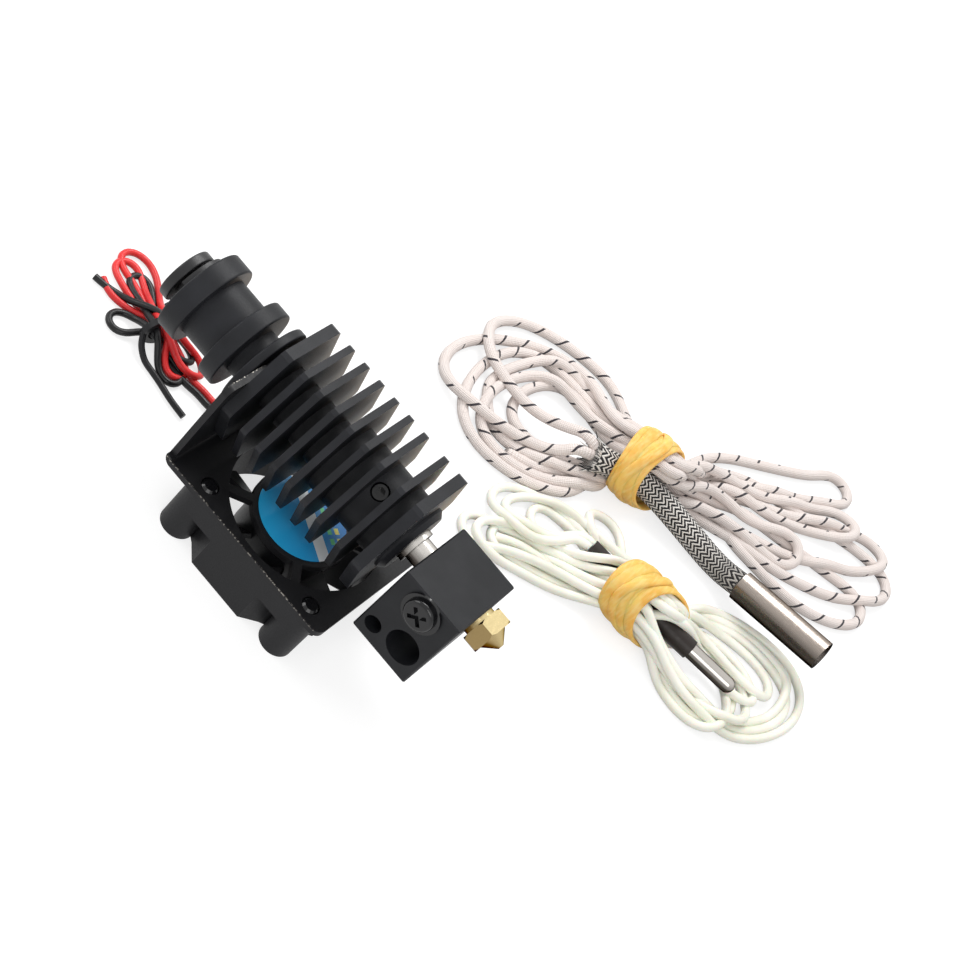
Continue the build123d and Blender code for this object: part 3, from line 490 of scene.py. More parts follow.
@dataclass(frozen=True)
class PrintedLabel:
    """Glossy paper disc: light blue with a pale stripe and small plain marks, all generic."""

    centre_mm: tuple[float, float]
    name: str = "printed_paper_label"
    blue: str = "2bb2ec"
    deep: str = "0e74bf"
    stripe: str = "e9eff2"
    green: str = "5fd08a"
    yellow: str = "e9e06a"
    turn: float = 0.5

    def make(self) -> bpy.types.Material:
        """Builds the material.

        Returns:
            The finished material.
        """
        recipe = Recipe(self.name)
        centred = recipe.add("Mapping", recipe.add("TexCoord", out="Object"),
                             Location=(-self.centre_mm[0] * MM, -self.centre_mm[1] * MM, 0.0))
        turned = recipe.add("Mapping", centred, Rotation=(0.0, 0.0, self.turn))
        x, y = (recipe.add("SeparateXYZ", turned, out=axis) for axis in "XY")
        stripe = recipe.add("Math", recipe.off_line(y, 1.5), 1.1 * MM, operation="LESS_THAN")
        tint = recipe.layers(self.blue, (self.deep, y, -8 * MM, 8 * MM), (self.stripe, stripe))
        beat = recipe.add("Math", recipe.add("Math", x, 1.9 * MM, operation="DIVIDE"), operation="FRACT")
        beat = recipe.add("Math", beat, 0.6, operation="LESS_THAN")
        for at, colour in ((4.2, self.green), (5.6, self.yellow)):
            bar = recipe.add("Math", recipe.off_line(y, at), 0.4 * MM, operation="LESS_THAN")
            tint = recipe.layers(tint, (colour, recipe.add("Math", bar, beat, operation="MULTIPLY")))
        return recipe.surface(recipe.blotches(0.6), 0.01, Base_Color=tint, Roughness=0.32,
                              Specular_IOR_Level=0.3)


@dataclass(frozen=True)
class PowderCoat:
    """Bent steel sheet, powder-coated black: a fine orange peel, rubbed thin along its front edges.
    The bare metal there is both wear and a painted edge highlight.
    """

    name: str = "black_powder_coated_steel"
    colour: str = "141416"
    # bare steel on the rubbed front edges: wear that is also a painted edge highlight
    bare: str = "a9a49c"
    plate_edge: tuple[float, float] = (-15.0, -13.5)
    tab_edge: tuple[float, float] = (16.9, 4.8)
    highlight_rub_mm: float = 0.22

    def make(self) -> bpy.types.Material:
        """Builds the material.

        Returns:
            The finished material.
        """
        recipe = Recipe(self.name)
        dots = recipe.add("MapRange", recipe.blotches(0.35, 3.0), 0.52, 0.62)
        # Bare metal dotted along the two front edges: wear, and a painted edge highlight.
        edges = [self.near(recipe, "YZ", self.plate_edge), self.near(recipe, "XZ", self.tab_edge)]
        worn = recipe.add("Math", dots, recipe.add("Math", *edges, operation="MAXIMUM"), operation="MULTIPLY")
        tint = recipe.layers(self.colour, (self.bare, worn))
        return recipe.surface(recipe.blotches(0.45), 0.015, Base_Color=tint, Metallic=worn,
                              Specular_IOR_Level=0.25, Roughness=(0.4, 0.52))

    def near(self, recipe: Recipe, axes: str, edge: tuple[float, float]) -> Socket:
        """A mask along a straight edge.

        Args:
            recipe: the material.
            axes: the two axes that the edge lies square to.
            edge: its place on them.

        Returns:
            1 on the edge and 0 away from it.
        """
        gaps = [recipe.off_line(recipe.add("SeparateXYZ", recipe.add("TexCoord", out="Object"), out=axis), at)
                for axis, at in zip(axes, edge)]
        far = recipe.add("Math", *gaps, operation="MAXIMUM")
        return recipe.add("MapRange", far, self.highlight_rub_mm * MM, 0.4 * self.highlight_rub_mm * MM)


# ---------------------------------------------------------------- shape helpers
def place(name: str, data: bpy.types.ID | None) -> bpy.types.Object:
    """Puts new data into the scene.

    Args:
        name: the object's name.
        data: its mesh, curve, lamp or camera.

    Returns:
        The object.
    """
    piece = bpy.data.objects.new(name, data)
    bpy.context.scene.collection.objects.link(piece)
    return piece


def add_piece(data: bpy.types.ID, slot: str, *materials: bpy.types.Material) -> bpy.types.Object:
    """Puts a mesh or curve into the scene as a piece of its name, which stays with the hotend's body.

    Args:
        data: the mesh or curve.
        slot: the record's material slot, which is not used.
        materials: its finishes.

    Returns:
        The new object.
    """
    for material in materials:
        data.materials.append(material)
    piece = place(data.name, data)
    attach(piece, ROOT)
    log.info("%s built", data.name)
    return piece


def as_mesh(name: str, shape: bmesh.types.BMesh) -> bpy.types.Mesh:
    """Ends a shape as a mesh.

    Args:
        name: the mesh's name.
        shape: the shape, which is freed.

    Returns:
        The mesh.
    """
    mesh = bpy.data.meshes.new(name)
    shape.to_mesh(mesh)
    shape.free()
    return mesh


def smooth_curve(name: str, points: Iterable[Sequence[float]], radius_mm: float,
                 sides: int = 3) -> bpy.types.Curve:
    """A round cord as one open NURBS spline.

    Args:
        name: the curve's name.
        points: its control points.
        radius_mm: the cord's radius.
        sides: the bevel's resolution.

    Returns:
        The curve.
    """
    curve = bpy.data.curves.new(name, "CURVE")
    curve.dimensions = "3D"
    curve.bevel_depth = radius_mm * MM
    curve.bevel_resolution = sides
    curve.use_fill_caps = True
    curve.resolution_u = 3
    rows = [[*metres(point), 1.0] for point in points]
    spline = curve.splines.new("NURBS")
    spline.points.add(len(rows) - 1)
    for point, row in zip(spline.points, rows):
        point.co = row
    spline.order_u = 3
    spline.use_endpoint_u = True
    return curve


def spline_length(curve: bpy.types.Curve) -> float:
    """The length of a curve's centre line, in metres."""
    return sum(spline.calc_length() for spline in curve.splines)


# ---------------------------------------------------------------- folded leads
@dataclass(frozen=True)
class Lobe:
    """One fold of a lead beyond its band.

    The tip is a floor point. Out and back give how far left of the line from band to tip the strand lies
    on its way out and on its way back, at the hank's three stations. The layer is how high it starts.
    Leave and arrive are points that it passes just after and just before the band, if it has to.
    """

    tip: tuple[float, float]
    out: tuple[float, float, float]
    back: tuple[float, float, float]
    layer: float = 0.0
    leave: Sequence[float] | None = None
    arrive: Sequence[float] | None = None


@dataclass(frozen=True)
class Band:
    """The oval opening that a band or tie leaves for a hank, square to the bundle's axis."""

    at: tuple[float, float]
    angle: float
    centre_z: float
    half_a: float
    half_b: float

    @property
    def centre(self) -> np.ndarray:
        """Its middle."""
        return np.array([*self.at, self.centre_z])

    def axes(self) -> tuple[np.ndarray, np.ndarray]:
        """Unit vectors along and across the bundle, on the floor."""
        cos, sin = math.cos(math.radians(self.angle)), math.sin(math.radians(self.angle))
        return np.array([cos, sin, 0.0]), np.array([-sin, cos, 0.0])


@dataclass
class Hank:
    """A hank of folded leads, which pass through a band and turn back in lobes at both sides.

    Slots are places for strands in the band, first round its wall and then nearer its middle. The fields from
    step on are the solver's: the chain's spacing, its rounds, and how strongly each rule acts in a round.
    """

    band: Band
    half_width: float
    lead_r: float
    slots: int
    slot_start: float
    slot_step: float
    inner_start: float = 0.0
    inner_step: float = 60.0
    inner_reach: float = 0.53
    zone: float = 0.3
    gate_shift: float = 0.0
    rods: tuple = ()
    underpass: tuple = ()
    first: int = 1
    step: float = 1.6
    rounds: int = 300
    polish: int = 4
    straight: int = 3
    bend: float = 4.0
    reach: int = 3
    follow: float = 0.05
    smooth: float = 0.35
    grip: float = 0.3
    sink: float = 0.02
    first_sink: float = 0.1
    margin: float = 0.8
    stations: tuple[float, float, float] = (0.3, 0.6, 0.88)

    def in_band(self, along: float, number: int) -> np.ndarray:
        """A point of a strand in the band.

        Args:
            along: its place along the bundle's axis.
            number: its slot.

        Returns:
            The point.
        """
        ahead, side = self.band.axes()
        outer = number < self.slots
        inner_turn = self.inner_start + self.inner_step * (number - self.slots)
        turn = math.radians(self.slot_start + self.slot_step * number if outer else inner_turn)
        reach = 1.0 if outer else self.inner_reach
        across = (self.band.half_a - self.lead_r) * reach * math.cos(turn)
        rise = (self.band.half_b - self.lead_r) * reach * math.sin(turn)
        return self.band.centre + ahead * along + side * across + np.array([0, 0, rise])

    def fold(self, side: int, lobe: Lobe) -> list[np.ndarray]:
        """The points of one lobe.

        Args:
            side: 1 for the lobe ahead of the band, -1 for the one behind it.
            lobe: its shape.

        Returns:
            Points out to the tip and back.
        """
        ahead, left = self.band.axes()
        shift = self.gate_shift if side > 0 else 0.0
        gate = np.array([*self.band.at, 0.0]) + ahead * side * (self.half_width + 1.0) + left * shift
        reach = np.array([*lobe.tip, 0.0]) - gate
        aside = np.array([-reach[1], reach[0], 0.0]) / np.linalg.norm(reach)
        low = FLOOR_Z + self.lead_r + lobe.layer
        way = []
        if lobe.leave is not None:
            way.append(np.array(lobe.leave))
        legs = [*zip(self.stations, lobe.out), (1.0, 0.0), *zip(self.stations[::-1], lobe.back)]
        for share, offset in legs:
            height = low + max(0.0, (self.band.centre_z - low) * (1 - 2.2 * share))
            way.append(gate + reach * share + aside * offset + np.array([0, 0, height]))
        if lobe.arrive is not None:
            way.append(np.array(lobe.arrive))
        return way

    def beneath(self, share: float) -> np.ndarray:
        """A point on the floor below the underpass, at a share of its length."""
        start, end = np.array(self.underpass)
        return np.array([*(start + (end - start) * share)[:2], FLOOR_Z + self.lead_r])

    def route(self, start: Sequence, lobes: Sequence[Lobe], slots: Sequence[int],
              tail: Sequence) -> np.ndarray:
        """The whole way of one lead: its start, its passes and lobes in turn, and its bare end.

        Args:
            start: points before the first pass.
            lobes: one lobe after each pass but the last.
            slots: the slot of each pass.
            tail: points after the last pass.

        Returns:
            The way's points, one per row.
        """
        way = [np.array(p, float) for p in start]
        for count, number in enumerate(slots):
            side = self.first if count % 2 == 0 else -self.first
            way += [self.in_band(end * side * self.half_width, number) for end in (-1, 1)]
            if count < len(lobes):
                way += self.fold(side, lobes[count])
        return np.array(way + [np.array(p, float) for p in tail])

    def settle(self, routes: Sequence[np.ndarray]) -> list[np.ndarray]:
        """Lets the leads sink onto the floor and each other until they no longer share space.

        Each lead is a chain of points. In each round they drop, straighten a little, keep to their way,
        stay clear of each other, the floor, the band and the solid rods, and keep their spacing. Points a
        few places apart stay far enough from each other that no bend gets tight. The band grips them at
        their own heights.

        Args:
            routes: the way of each lead.

        Returns:
            The settled points of each lead.
        """
        chains = [evenly(route, self.step) for route in routes]
        sizes = [len(chain) for chain in chains]
        points = np.vstack(chains)
        goal = points.copy()
        owner = np.repeat(np.arange(len(chains)), sizes)
        number = np.concatenate([np.arange(size) for size in sizes])
        wide = 2 * self.lead_r
        pinned = number < self.straight
        span = 2 * self.reach
        opened = np.nonzero(owner[span:] == owner[:-span])[0]
        bend_r = self.bend * wide / 2
        chord = 2 * bend_r * math.sin(self.reach * self.step / bend_r)
        link = owner[1:] == owner[:-1]
        rest = np.linalg.norm(np.diff(points, axis=0), axis=1)
        inner = np.nonzero(link[1:] & link[:-1])[0] + 1
        gripped = np.abs((goal - self.band.centre) @ self.band.axes()[0]) < self.half_width + 1
        skip = math.ceil(wide / self.step) + 1
        for turn in range(self.rounds):
            if turn % 5 == 0:
                first, second = close_pairs(points, owner, number, wide + self.margin, skip)
            points[:, 2] -= self.sink + self.first_sink * (1 - turn / self.rounds)
            points[:, :2] += (goal[:, :2] - points[:, :2]) * self.follow
            points[inner] += ((points[inner - 1] + points[inner + 1]) / 2 - points[inner]) * self.smooth
            points[gripped, 2] += (goal[gripped, 2] - points[gripped, 2]) * self.grip
            push_apart(points, first, second, wide)
            push_apart(points, opened, opened + span, chord)
            self.push_from_rods(points)
            self.keep_in_band(points)
            points[:, 2] = np.maximum(points[:, 2], FLOOR_Z + self.lead_r)
            keep_spacing(points, link, rest)
            points[pinned] = goal[pinned]
        for _ in range(self.polish):
            points[inner] += ((points[inner - 1] + points[inner + 1]) / 2 - points[inner]) * 0.5
            points[pinned] = goal[pinned]
        ends = np.cumsum(sizes)
        return [points[end - size:end] for size, end in zip(sizes, ends)]

    def push_from_rods(self, points: np.ndarray) -> None:
        """Moves points out of the round solids that lie in the hank.

        Args:
            points: all points, which are changed in place.
        """
        for start, end, radius in self.rods:
            start, end = np.array(start), np.array(end)
            run = end - start
            share = np.clip((points - start) @ run / (run @ run), 0, 1)
            away = points - (start + share[:, None] * run)
            far = np.linalg.norm(away, axis=1) + 1e-9
            short = np.maximum(radius + self.lead_r - far, 0)
            points += away / far[:, None] * short[:, None]

    def keep_in_band(self, points: np.ndarray) -> None:
        """Moves points that pass the band inside its opening.

        Args:
            points: all points, which are changed in place.
        """
        ahead, side = self.band.axes()
        offset = points - self.band.centre
        across, rise = offset @ side, offset[:, 2]
        out = np.hypot(across / (self.band.half_a - self.lead_r), rise / (self.band.half_b - self.lead_r))
        held = (np.abs(offset @ ahead) < self.half_width + self.zone) & (out > 1)
        shrink = np.where(held, 1 / np.maximum(out, 1), 1) - 1
        points += side[None, :] * (across * shrink)[:, None]
        points[:, 2] += rise * shrink


def evenly(points: np.ndarray, step: float) -> np.ndarray:
    """Points a step apart along a smooth curve through others.

    Args:
        points: the points to pass through.
        step: the spacing.

    Returns:
        The evenly spaced points.
    """
    ends = np.vstack([2 * points[0] - points[1], points, 2 * points[-1] - points[-2]])
    fine = []
    for before, here, after, beyond in zip(ends, ends[1:], ends[2:], ends[3:]):
        for share in np.linspace(0, 1, 16, endpoint=False):
            square, cube = share ** 2, share ** 3
            fine.append(0.5 * (2 * here + (after - before) * share
                               + (2 * before - 5 * here + 4 * after - beyond) * square
                               + (3 * here - before - 3 * after + beyond) * cube))
    fine = np.array([*fine, points[-1]])
    run = np.concatenate([[0], np.cumsum(np.linalg.norm(np.diff(fine, axis=0), axis=1))])
    marks = np.linspace(0, run[-1], round(run[-1] / step) + 1)
    return np.stack([np.interp(marks, run, fine[:, axis]) for axis in range(3)], 1)


def close_pairs(points: np.ndarray, owner: np.ndarray, number: np.ndarray, within: float,
                skip: int) -> tuple[np.ndarray, np.ndarray]:
    """The pairs of points that are near each other but not neighbours on one lead.

    Args:
        points: all points.
        owner: which lead each belongs to.
        number: its place along that lead.
        within: the distance that counts as near.
        skip: how many places along one lead don't count.

    Returns:
        The first and the second point of each pair.
    """
    square = (points ** 2).sum(1)
    apart = square[:, None] + square[None, :] - 2 * points @ points.T
    first, second = np.nonzero(np.triu(apart < within ** 2, 1))
    same = (owner[first] == owner[second]) & (np.abs(number[first] - number[second]) <= skip)
    return first[~same], second[~same]


def push_apart(points: np.ndarray, first: np.ndarray, second: np.ndarray, wide: float) -> None:
    """Moves each pair of points that is nearer than a width apart, a little further than it needs.

    Args:
        points: all points, which are changed in place.
        first: one point of each pair.
        second: its other point.
        wide: the width.
    """
    away = points[first] - points[second]
    far = np.linalg.norm(away, axis=1) + 1e-9
    push = away / far[:, None] * (np.maximum(wide - far, 0) / 2)[:, None]
    hits = (far < wide).astype(float)
    moves, count = np.zeros_like(points), np.zeros(len(points))
    np.add.at(moves, first, push)
    np.add.at(moves, second, -push)
    np.add.at(count, first, hits)
    np.add.at(count, second, hits)
    points += moves / np.maximum(count, 1)[:, None] * OVERSHOOT


def keep_spacing(points: np.ndarray, link: np.ndarray, rest: np.ndarray) -> None:
    """Draws neighbours on a lead back to their spacing, odd links after even ones.

    Args:
        points: all points, which are changed in place.
        link: whether each point and the next are on one lead.
        rest: their spacing.
    """
    for parity in (0, 1):
        first = np.arange(parity, len(points) - 1, 2)
        first = first[link[first]]
        run = points[first + 1] - points[first]
        far = np.linalg.norm(run, axis=1) + 1e-9
        shift = run / far[:, None] * ((far - rest[first]) / 2)[:, None]
        points[first] += shift
        points[first + 1] -= shift


# ---------------------------------------------------------------- studio
@dataclass
class Studio:
    """Pale floor, soft lamps and the camera."""

    camera_at: tuple[float, float, float] = (71.175, -243.994, 229.790)
    camera_right: tuple[float, float, float] = (0.6468066, 0.5289862, 0.5493769)
    camera_up: tuple[float, float, float] = (-0.7601238, 0.3885145, 0.5208342)
    camera_back: tuple[float, float, float] = (0.0620732, -0.7544734, 0.6533887)
    lens: float = 82.74
    middle: tuple[float, float, float] = (50.0, 40.0, 0.0)
    floor_at: tuple[float, float] = (40.0, 50.0)
    floor_half: float = 3000.0
    paper: str = "a6a6a6"
    floor_glow: float = 0.72
    world_level: float = 0.62

    def camera(self) -> None:
        """Places the camera."""
        data = bpy.data.cameras.new("camera")
        data.lens = self.lens
        data.clip_start = 10 * MM
        eye = place("camera", data)
        turn = Matrix((self.camera_right, self.camera_up, self.camera_back)).transposed()
        eye.matrix_world = Matrix.Translation(metres(self.camera_at)) @ turn.to_4x4()
        bpy.context.scene.camera = eye

    def floor(self) -> None:
        """Lays the pale floor, which keeps the object's shadow and shows white round it."""
        shape = bmesh.new()
        bmesh.ops.create_grid(shape, x_segments=1, y_segments=1, size=self.floor_half * MM)
        bmesh.ops.translate(shape, verts=shape.verts, vec=metres((*self.floor_at, FLOOR_Z - 0.02)))
        mesh = as_mesh("floor", shape)
        recipe = Recipe("white_paper_sweep")
        glow = recipe.add("Math", recipe.seen(), self.floor_glow, operation="MULTIPLY")
        mesh.materials.append(recipe.surface(Base_Color=self.paper, Roughness=0.9, Specular_IOR_Level=0.1,
                                             Emission_Color=WHITE, Emission_Strength=glow))
        place("floor", mesh)

    def lamp(self, name: str, at: Sequence[float], size: float, power: float) -> None:
        """Adds a square soft box that faces the object.

        Args:
            name: the lamp's name.
            at: its place.
            size: its side.
            power: its power in watts.
        """
        data = bpy.data.lights.new(name, "AREA")
        data.size = size * MM
        data.energy = power
        lamp = place(name, data)
        lamp.location = metres(at)
        lamp.rotation_euler = (metres(self.middle) - metres(at)).to_track_quat("-Z", "Y").to_euler()

    def light(self) -> None:
        """Sets the world, whose seen part is white, and the lamps."""
        world = bpy.data.worlds.new("studio")
        nodes = Nodes(world)
        strength = nodes.add("Math", nodes.seen(), self.world_level, operation="MAXIMUM")
        nodes.add("OutputWorld", nodes.add("Background", WHITE, strength))
        bpy.context.scene.world = world
        self.lamp("key", (-120.0, 260.0, 420.0), 260.0, 1.7)
        self.lamp("front", (260.0, -320.0, 300.0), 300.0, 0.75)
        self.lamp("side", (-320.0, -120.0, 180.0), 220.0, 0.5)

    def build(self) -> None:
        """Makes the whole studio."""
        self.camera()
        self.floor()
        self.light()
        bpy.context.scene.view_settings.view_transform = "Standard"


# ---------------------------------------------------------------- rubber bands
@dataclass(frozen=True)
class Wrap:
    """One turn of a rubber band: where it sits along the bundle, how much it leans and how it wanders."""

    along: float
    lean: float
    width: float
    lift: float = 0.0
    wander: float = 0.0


@dataclass
class RubberBand:
    """A flat rubber band wound several times round a hank, leaning over towards its upper near side."""

    name: str
    node: str
    band: Band
    wraps: tuple[Wrap, ...]
    thick: float = 0.8
    steps: int = 72
    lean_across: float = 0.745
    lean_up: float = -0.667

    def build(self) -> None:
        """Makes the band as one mesh over its CAD ring."""
        shape = bmesh.new()
        for wrap in self.wraps:
            self.add_wrap(shape, wrap)
        bmesh.ops.recalc_face_normals(shape, faces=shape.faces)
        turned = Matrix.Rotation(math.radians(self.band.angle), 4, "Z")
        moved = Matrix.Translation(metres(self.band.centre)) @ turned
        bmesh.ops.transform(shape, matrix=moved, verts=shape.verts)
        for vert in shape.verts:
            vert.co.z = max(vert.co.z, FLOOR_Z * MM)
        for face in shape.faces:
            face.smooth = True
        rubber = NaturalRubber(f"amber_rubber_{self.name.split('_')[0]}").make()
        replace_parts(add_piece(as_mesh(self.name, shape), "band_amber", rubber), self.node)

    def add_wrap(self, shape: bmesh.types.BMesh, wrap: Wrap) -> None:
        """Adds one turn: a rounded flat profile spun about the bundle's axis, then made oval and leant.

        Args:
            shape: the band so far.
            wrap: the turn.
        """
        profile = bmesh.ops.create_circle(shape, segments=12, radius=1.0)["verts"]
        spin_r = (self.band.half_b + self.thick / 2 + wrap.lift) * MM
        flat = Matrix.Diagonal((wrap.width / 2 * MM, self.thick / 2 * MM, 1.0, 1.0))
        stand = Matrix.Rotation(math.radians(90), 4, "X")
        bmesh.ops.transform(shape, matrix=Matrix.Translation((0, 0, spin_r)) @ stand @ flat, verts=profile)
        edges = list({edge for vert in profile for edge in vert.link_edges})
        spun = bmesh.ops.spin(shape, geom=profile + edges, axis=(1, 0, 0), cent=(0, 0, 0),
                              angle=math.tau, steps=self.steps, use_merge=True)
        verts = list({vert for vert in spun["geom_last"] if isinstance(vert, bmesh.types.BMVert)})
        ring = self.connected(verts)
        wider = (self.band.half_a + self.thick) / (self.band.half_b + self.thick)
        bmesh.ops.transform(shape, matrix=Matrix.Diagonal((1.0, wider, 1.0, 1.0)), verts=ring)
        for vert in ring:
            turn = math.atan2(vert.co.z, vert.co.y)
            lean = wrap.lean * (self.lean_across * vert.co.y + self.lean_up * vert.co.z)
            vert.co.x += wrap.along * MM + lean + wrap.wander * MM * math.sin(2 * turn + wrap.along)

    @staticmethod
    def connected(seeds: Sequence[bmesh.types.BMVert]) -> list[bmesh.types.BMVert]:
        """Finds what a few vertices belong to.

        Args:
            seeds: the vertices.

        Returns:
            All vertices that hang together with them.
        """
        found, queue = set(seeds), list(seeds)
        while queue:
            for edge in queue.pop().link_edges:
                for vert in edge.verts:
                    if vert not in found:
                        found.add(vert)
                        queue.append(vert)
        return list(found)


@dataclass
class Lead:
    """One finished lead: its settled points, radius and start, the CAD nodes it replaces and a slot name."""

    name: str
    points: list
    radius: float
    exit: tuple[float, float, float]
    node: tuple[str, ...]
    slot: str

    def build(self, finish: object) -> None:
        """Args:
            finish: a finish, or a function from the length in millimetres to one.
        """
        curve = smooth_curve(self.name, self.points, self.radius)
        long = spline_length(curve)
        made = finish(long / MM) if callable(finish) else finish
        piece = add_piece(curve, self.slot, made.make())
        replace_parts(piece, *self.node)
        metres(self.exit)
        log.info("%s is %.0f mm long", self.name, long / MM)


def every_other(chain: np.ndarray) -> list[np.ndarray]:
    """Every second point of a chain, with its last one."""
    return [*chain[:-1:2], chain[-1]]


def towards_viewer(start: Sequence[float], end: Sequence[float], radius: float,
                   steps: Sequence[float]) -> tuple:
    """Copies of a rod set off towards the viewer, which keep leads from lying over it.

    Args:
        start: one end of the rod.
        end: its other end.
        radius: its radius.
        steps: how far each copy stands off, in millimetres.

    Returns:
        One start, end and radius for each copy.
    """
    way = Vector(Studio.camera_back)
    return tuple((tuple(Vector(start) + way * far), tuple(Vector(end) + way * far), radius) for far in steps)


# ---------------------------------------------------------------- heater
@dataclass
class Heater:
    """Heater cartridge with its sleeve, its two leads in a hank and the band round them."""

    sleeve_points: tuple = (
        (56.6, 71.0, -18.5), (66.9, 78.7, -19.6), (85.7, 82.0, -21.8), (92.4, 81.3, -20.0))
    sleeve_r: float = 2.5
    flare: tuple[float, ...] = (1.22, 1.12, 1.04)
    hairs: int = 46
    hair_long: tuple[float, float] = (0.8, 2.4)
    hair_r: tuple[float, float] = (0.17, 0.06)
    hair_root: float = 0.3
    cartridge_dir: tuple[float, float, float] = (0.962, -0.094, 0.257)
    cartridge_len: float = 20.0
    cartridge_r: float = 3.0
    lead_r: float = 1.05
    clear: tuple[float, ...] = (2.2, 4.4, 6.6)
    band: Band = Band((66.0, 80.4), 20.0, -18.0, 6.5, 5.8)
    wraps: tuple[Wrap, ...] = (
        Wrap(-4.6, 0.42, 2.4, 0.0, 0.3), Wrap(-3.2, 0.5, 2.7, 0.35, 0.4), Wrap(-1.7, 0.56, 2.7, 0.0, -0.4),
        Wrap(-0.2, 0.64, 2.7, 0.35, 0.3), Wrap(1.2, 0.72, 2.6, 0.0, -0.3), Wrap(-1.6, 0.4, 2.2, 0.65, 1.3))

    def hank(self) -> Hank:
        """Sets up the hank, with the sleeve and the cartridge as solid rods in it.

        Returns:
            The hank, kept clear of them towards the viewer.
        """
        stops = self.sleeve_points
        tip = tuple(a + b * self.cartridge_len for a, b in zip(stops[-1], self.cartridge_dir))
        rods = [(a, b, self.sleeve_r) for a, b in zip(stops, stops[1:])]
        rods.append((stops[-1], tip, self.cartridge_r))
        before = tuple(Vector(stops[0]).lerp(Vector(stops[1]), 0.5))
        after = tuple(Vector(stops[1]).lerp(Vector(stops[2]), 0.22))
        for start, end in ((stops[0], before), (after, stops[2]), (stops[2], stops[3]), (stops[3], tip)):
            rods += towards_viewer(start, end, self.sleeve_r, self.clear)
        return Hank(self.band, 3.25, self.lead_r, slots=8, slot_start=-78.0, slot_step=27.0,
                    inner_start=-28.0, inner_step=47.0, zone=2.2, gate_shift=2.5, rods=tuple(rods),
                    underpass=stops[:2])

    def lead_routes(self, hank: Hank) -> list[np.ndarray]:
        """Lays the two leads, from the sleeve's open end to their bare ends.

        Args:
            hank: the hank that they pass through.

        Returns:
            The way of each lead.
        """
        big_low = Lobe((25.5, 61.0), (6.0, 8.0, 5.5), (-10.5, -18.0, -19.5), 7.0)
        big_high = Lobe((24.5, 82.0), (8.0, 11.5, 9.5), (-8.0, -14.5, -15.5), 8.0)
        left = [
            Lobe((35.0, 56.5), (9.0, 10.5, 7.0), (-12.0, -21.5, -19.0), 1.0, hank.beneath(0.3)),
            Lobe((40.5, 66.0), (3.5, 5.0, 3.0), (-8.5, -14.5, -13.5), 0.0, hank.beneath(0.66)),
            Lobe((36.0, 64.0), (6.5, 8.5, 7.5), (-10.5, -18.5, -18.0), 2.5, hank.beneath(0.54)),
            Lobe((38.5, 58.0), (7.0, 8.0, 5.5), (-9.5, -16.5, -15.0), 4.0, hank.beneath(0.42)),
        ]
        right = [
            Lobe((114.5, 123.0), (12.0, 9.5, 6.0), (-6.5, -8.5, -2.5), 1.0),
            Lobe((102.0, 127.0), (6.5, 3.5, 3.5), (-2.0, -1.0, 4.0), 4.0),
            Lobe((98.0, 106.0), (5.5, 3.5, 2.0), (-3.0, -2.5, 0.5), 5.0),
            Lobe((95.0, 136.0), (8.0, 5.5, 2.0), (-2.5, -2.0, 2.5), 3.0),
            Lobe((109.5, 128.5), (4.5, 3.5, 3.5), (-5.0, -7.0, -3.5), 2.0),
            Lobe((113.5, 112.0), (7.5, 5.0, 2.5), (-8.0, -8.5, 1.0), 0.0),
        ]
        first = hank.route(
            [self.sleeve_points[0], (54.0, 69.2, -18.3), *hank.fold(-1, big_low)],
            [right[0], left[0], right[1], left[1], right[2]], [6, 1, 4, 8, 11, 0],
            [hank.beneath(0.2), (52.0, 64.0, -23.0), (46.0, 59.0, -23.5)])
        second = hank.route(
            [(56.2, 72.3, -17.6), (53.4, 72.2, -17.0), *hank.fold(-1, big_high)],
            [right[3], left[2], right[4], left[3], right[5]], [7, 9, 5, 2, 10, 3],
            [hank.beneath(0.35), (53.0, 67.0, -23.0), (48.0, 63.0, -23.5)])
        return [first, second]

    def leads(self) -> None:
        """Makes the two leads."""
        hank = self.hank()
        for number, chain in enumerate(hank.settle(self.lead_routes(hank)), 1):
            Lead(f"heater_lead_{number}", every_other(chain), self.lead_r, self.sleeve_points[0],
                 ("heater_lead_hank",), "fibreglass_white").build(
                lambda long: FibreglassLead(long, math.tau * self.lead_r, f"fibreglass_braid_{number}"))

    def sleeve(self) -> None:
        """Makes the braided sleeve, which widens at its cut end, with the loose yarns of that end."""
        way = evenly(np.array(self.sleeve_points), 1.5)
        curve = smooth_curve("heater_braided_sleeve", way, self.sleeve_r, 6)
        for point, wider in zip(curve.splines[0].points, self.flare):
            point.radius = wider
        long = spline_length(curve) / MM
        braid = SleeveBraid(long, math.tau * self.sleeve_r).make()
        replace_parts(add_piece(curve, "sleeve_braid", braid), "heater_sleeve")
        self.fray()

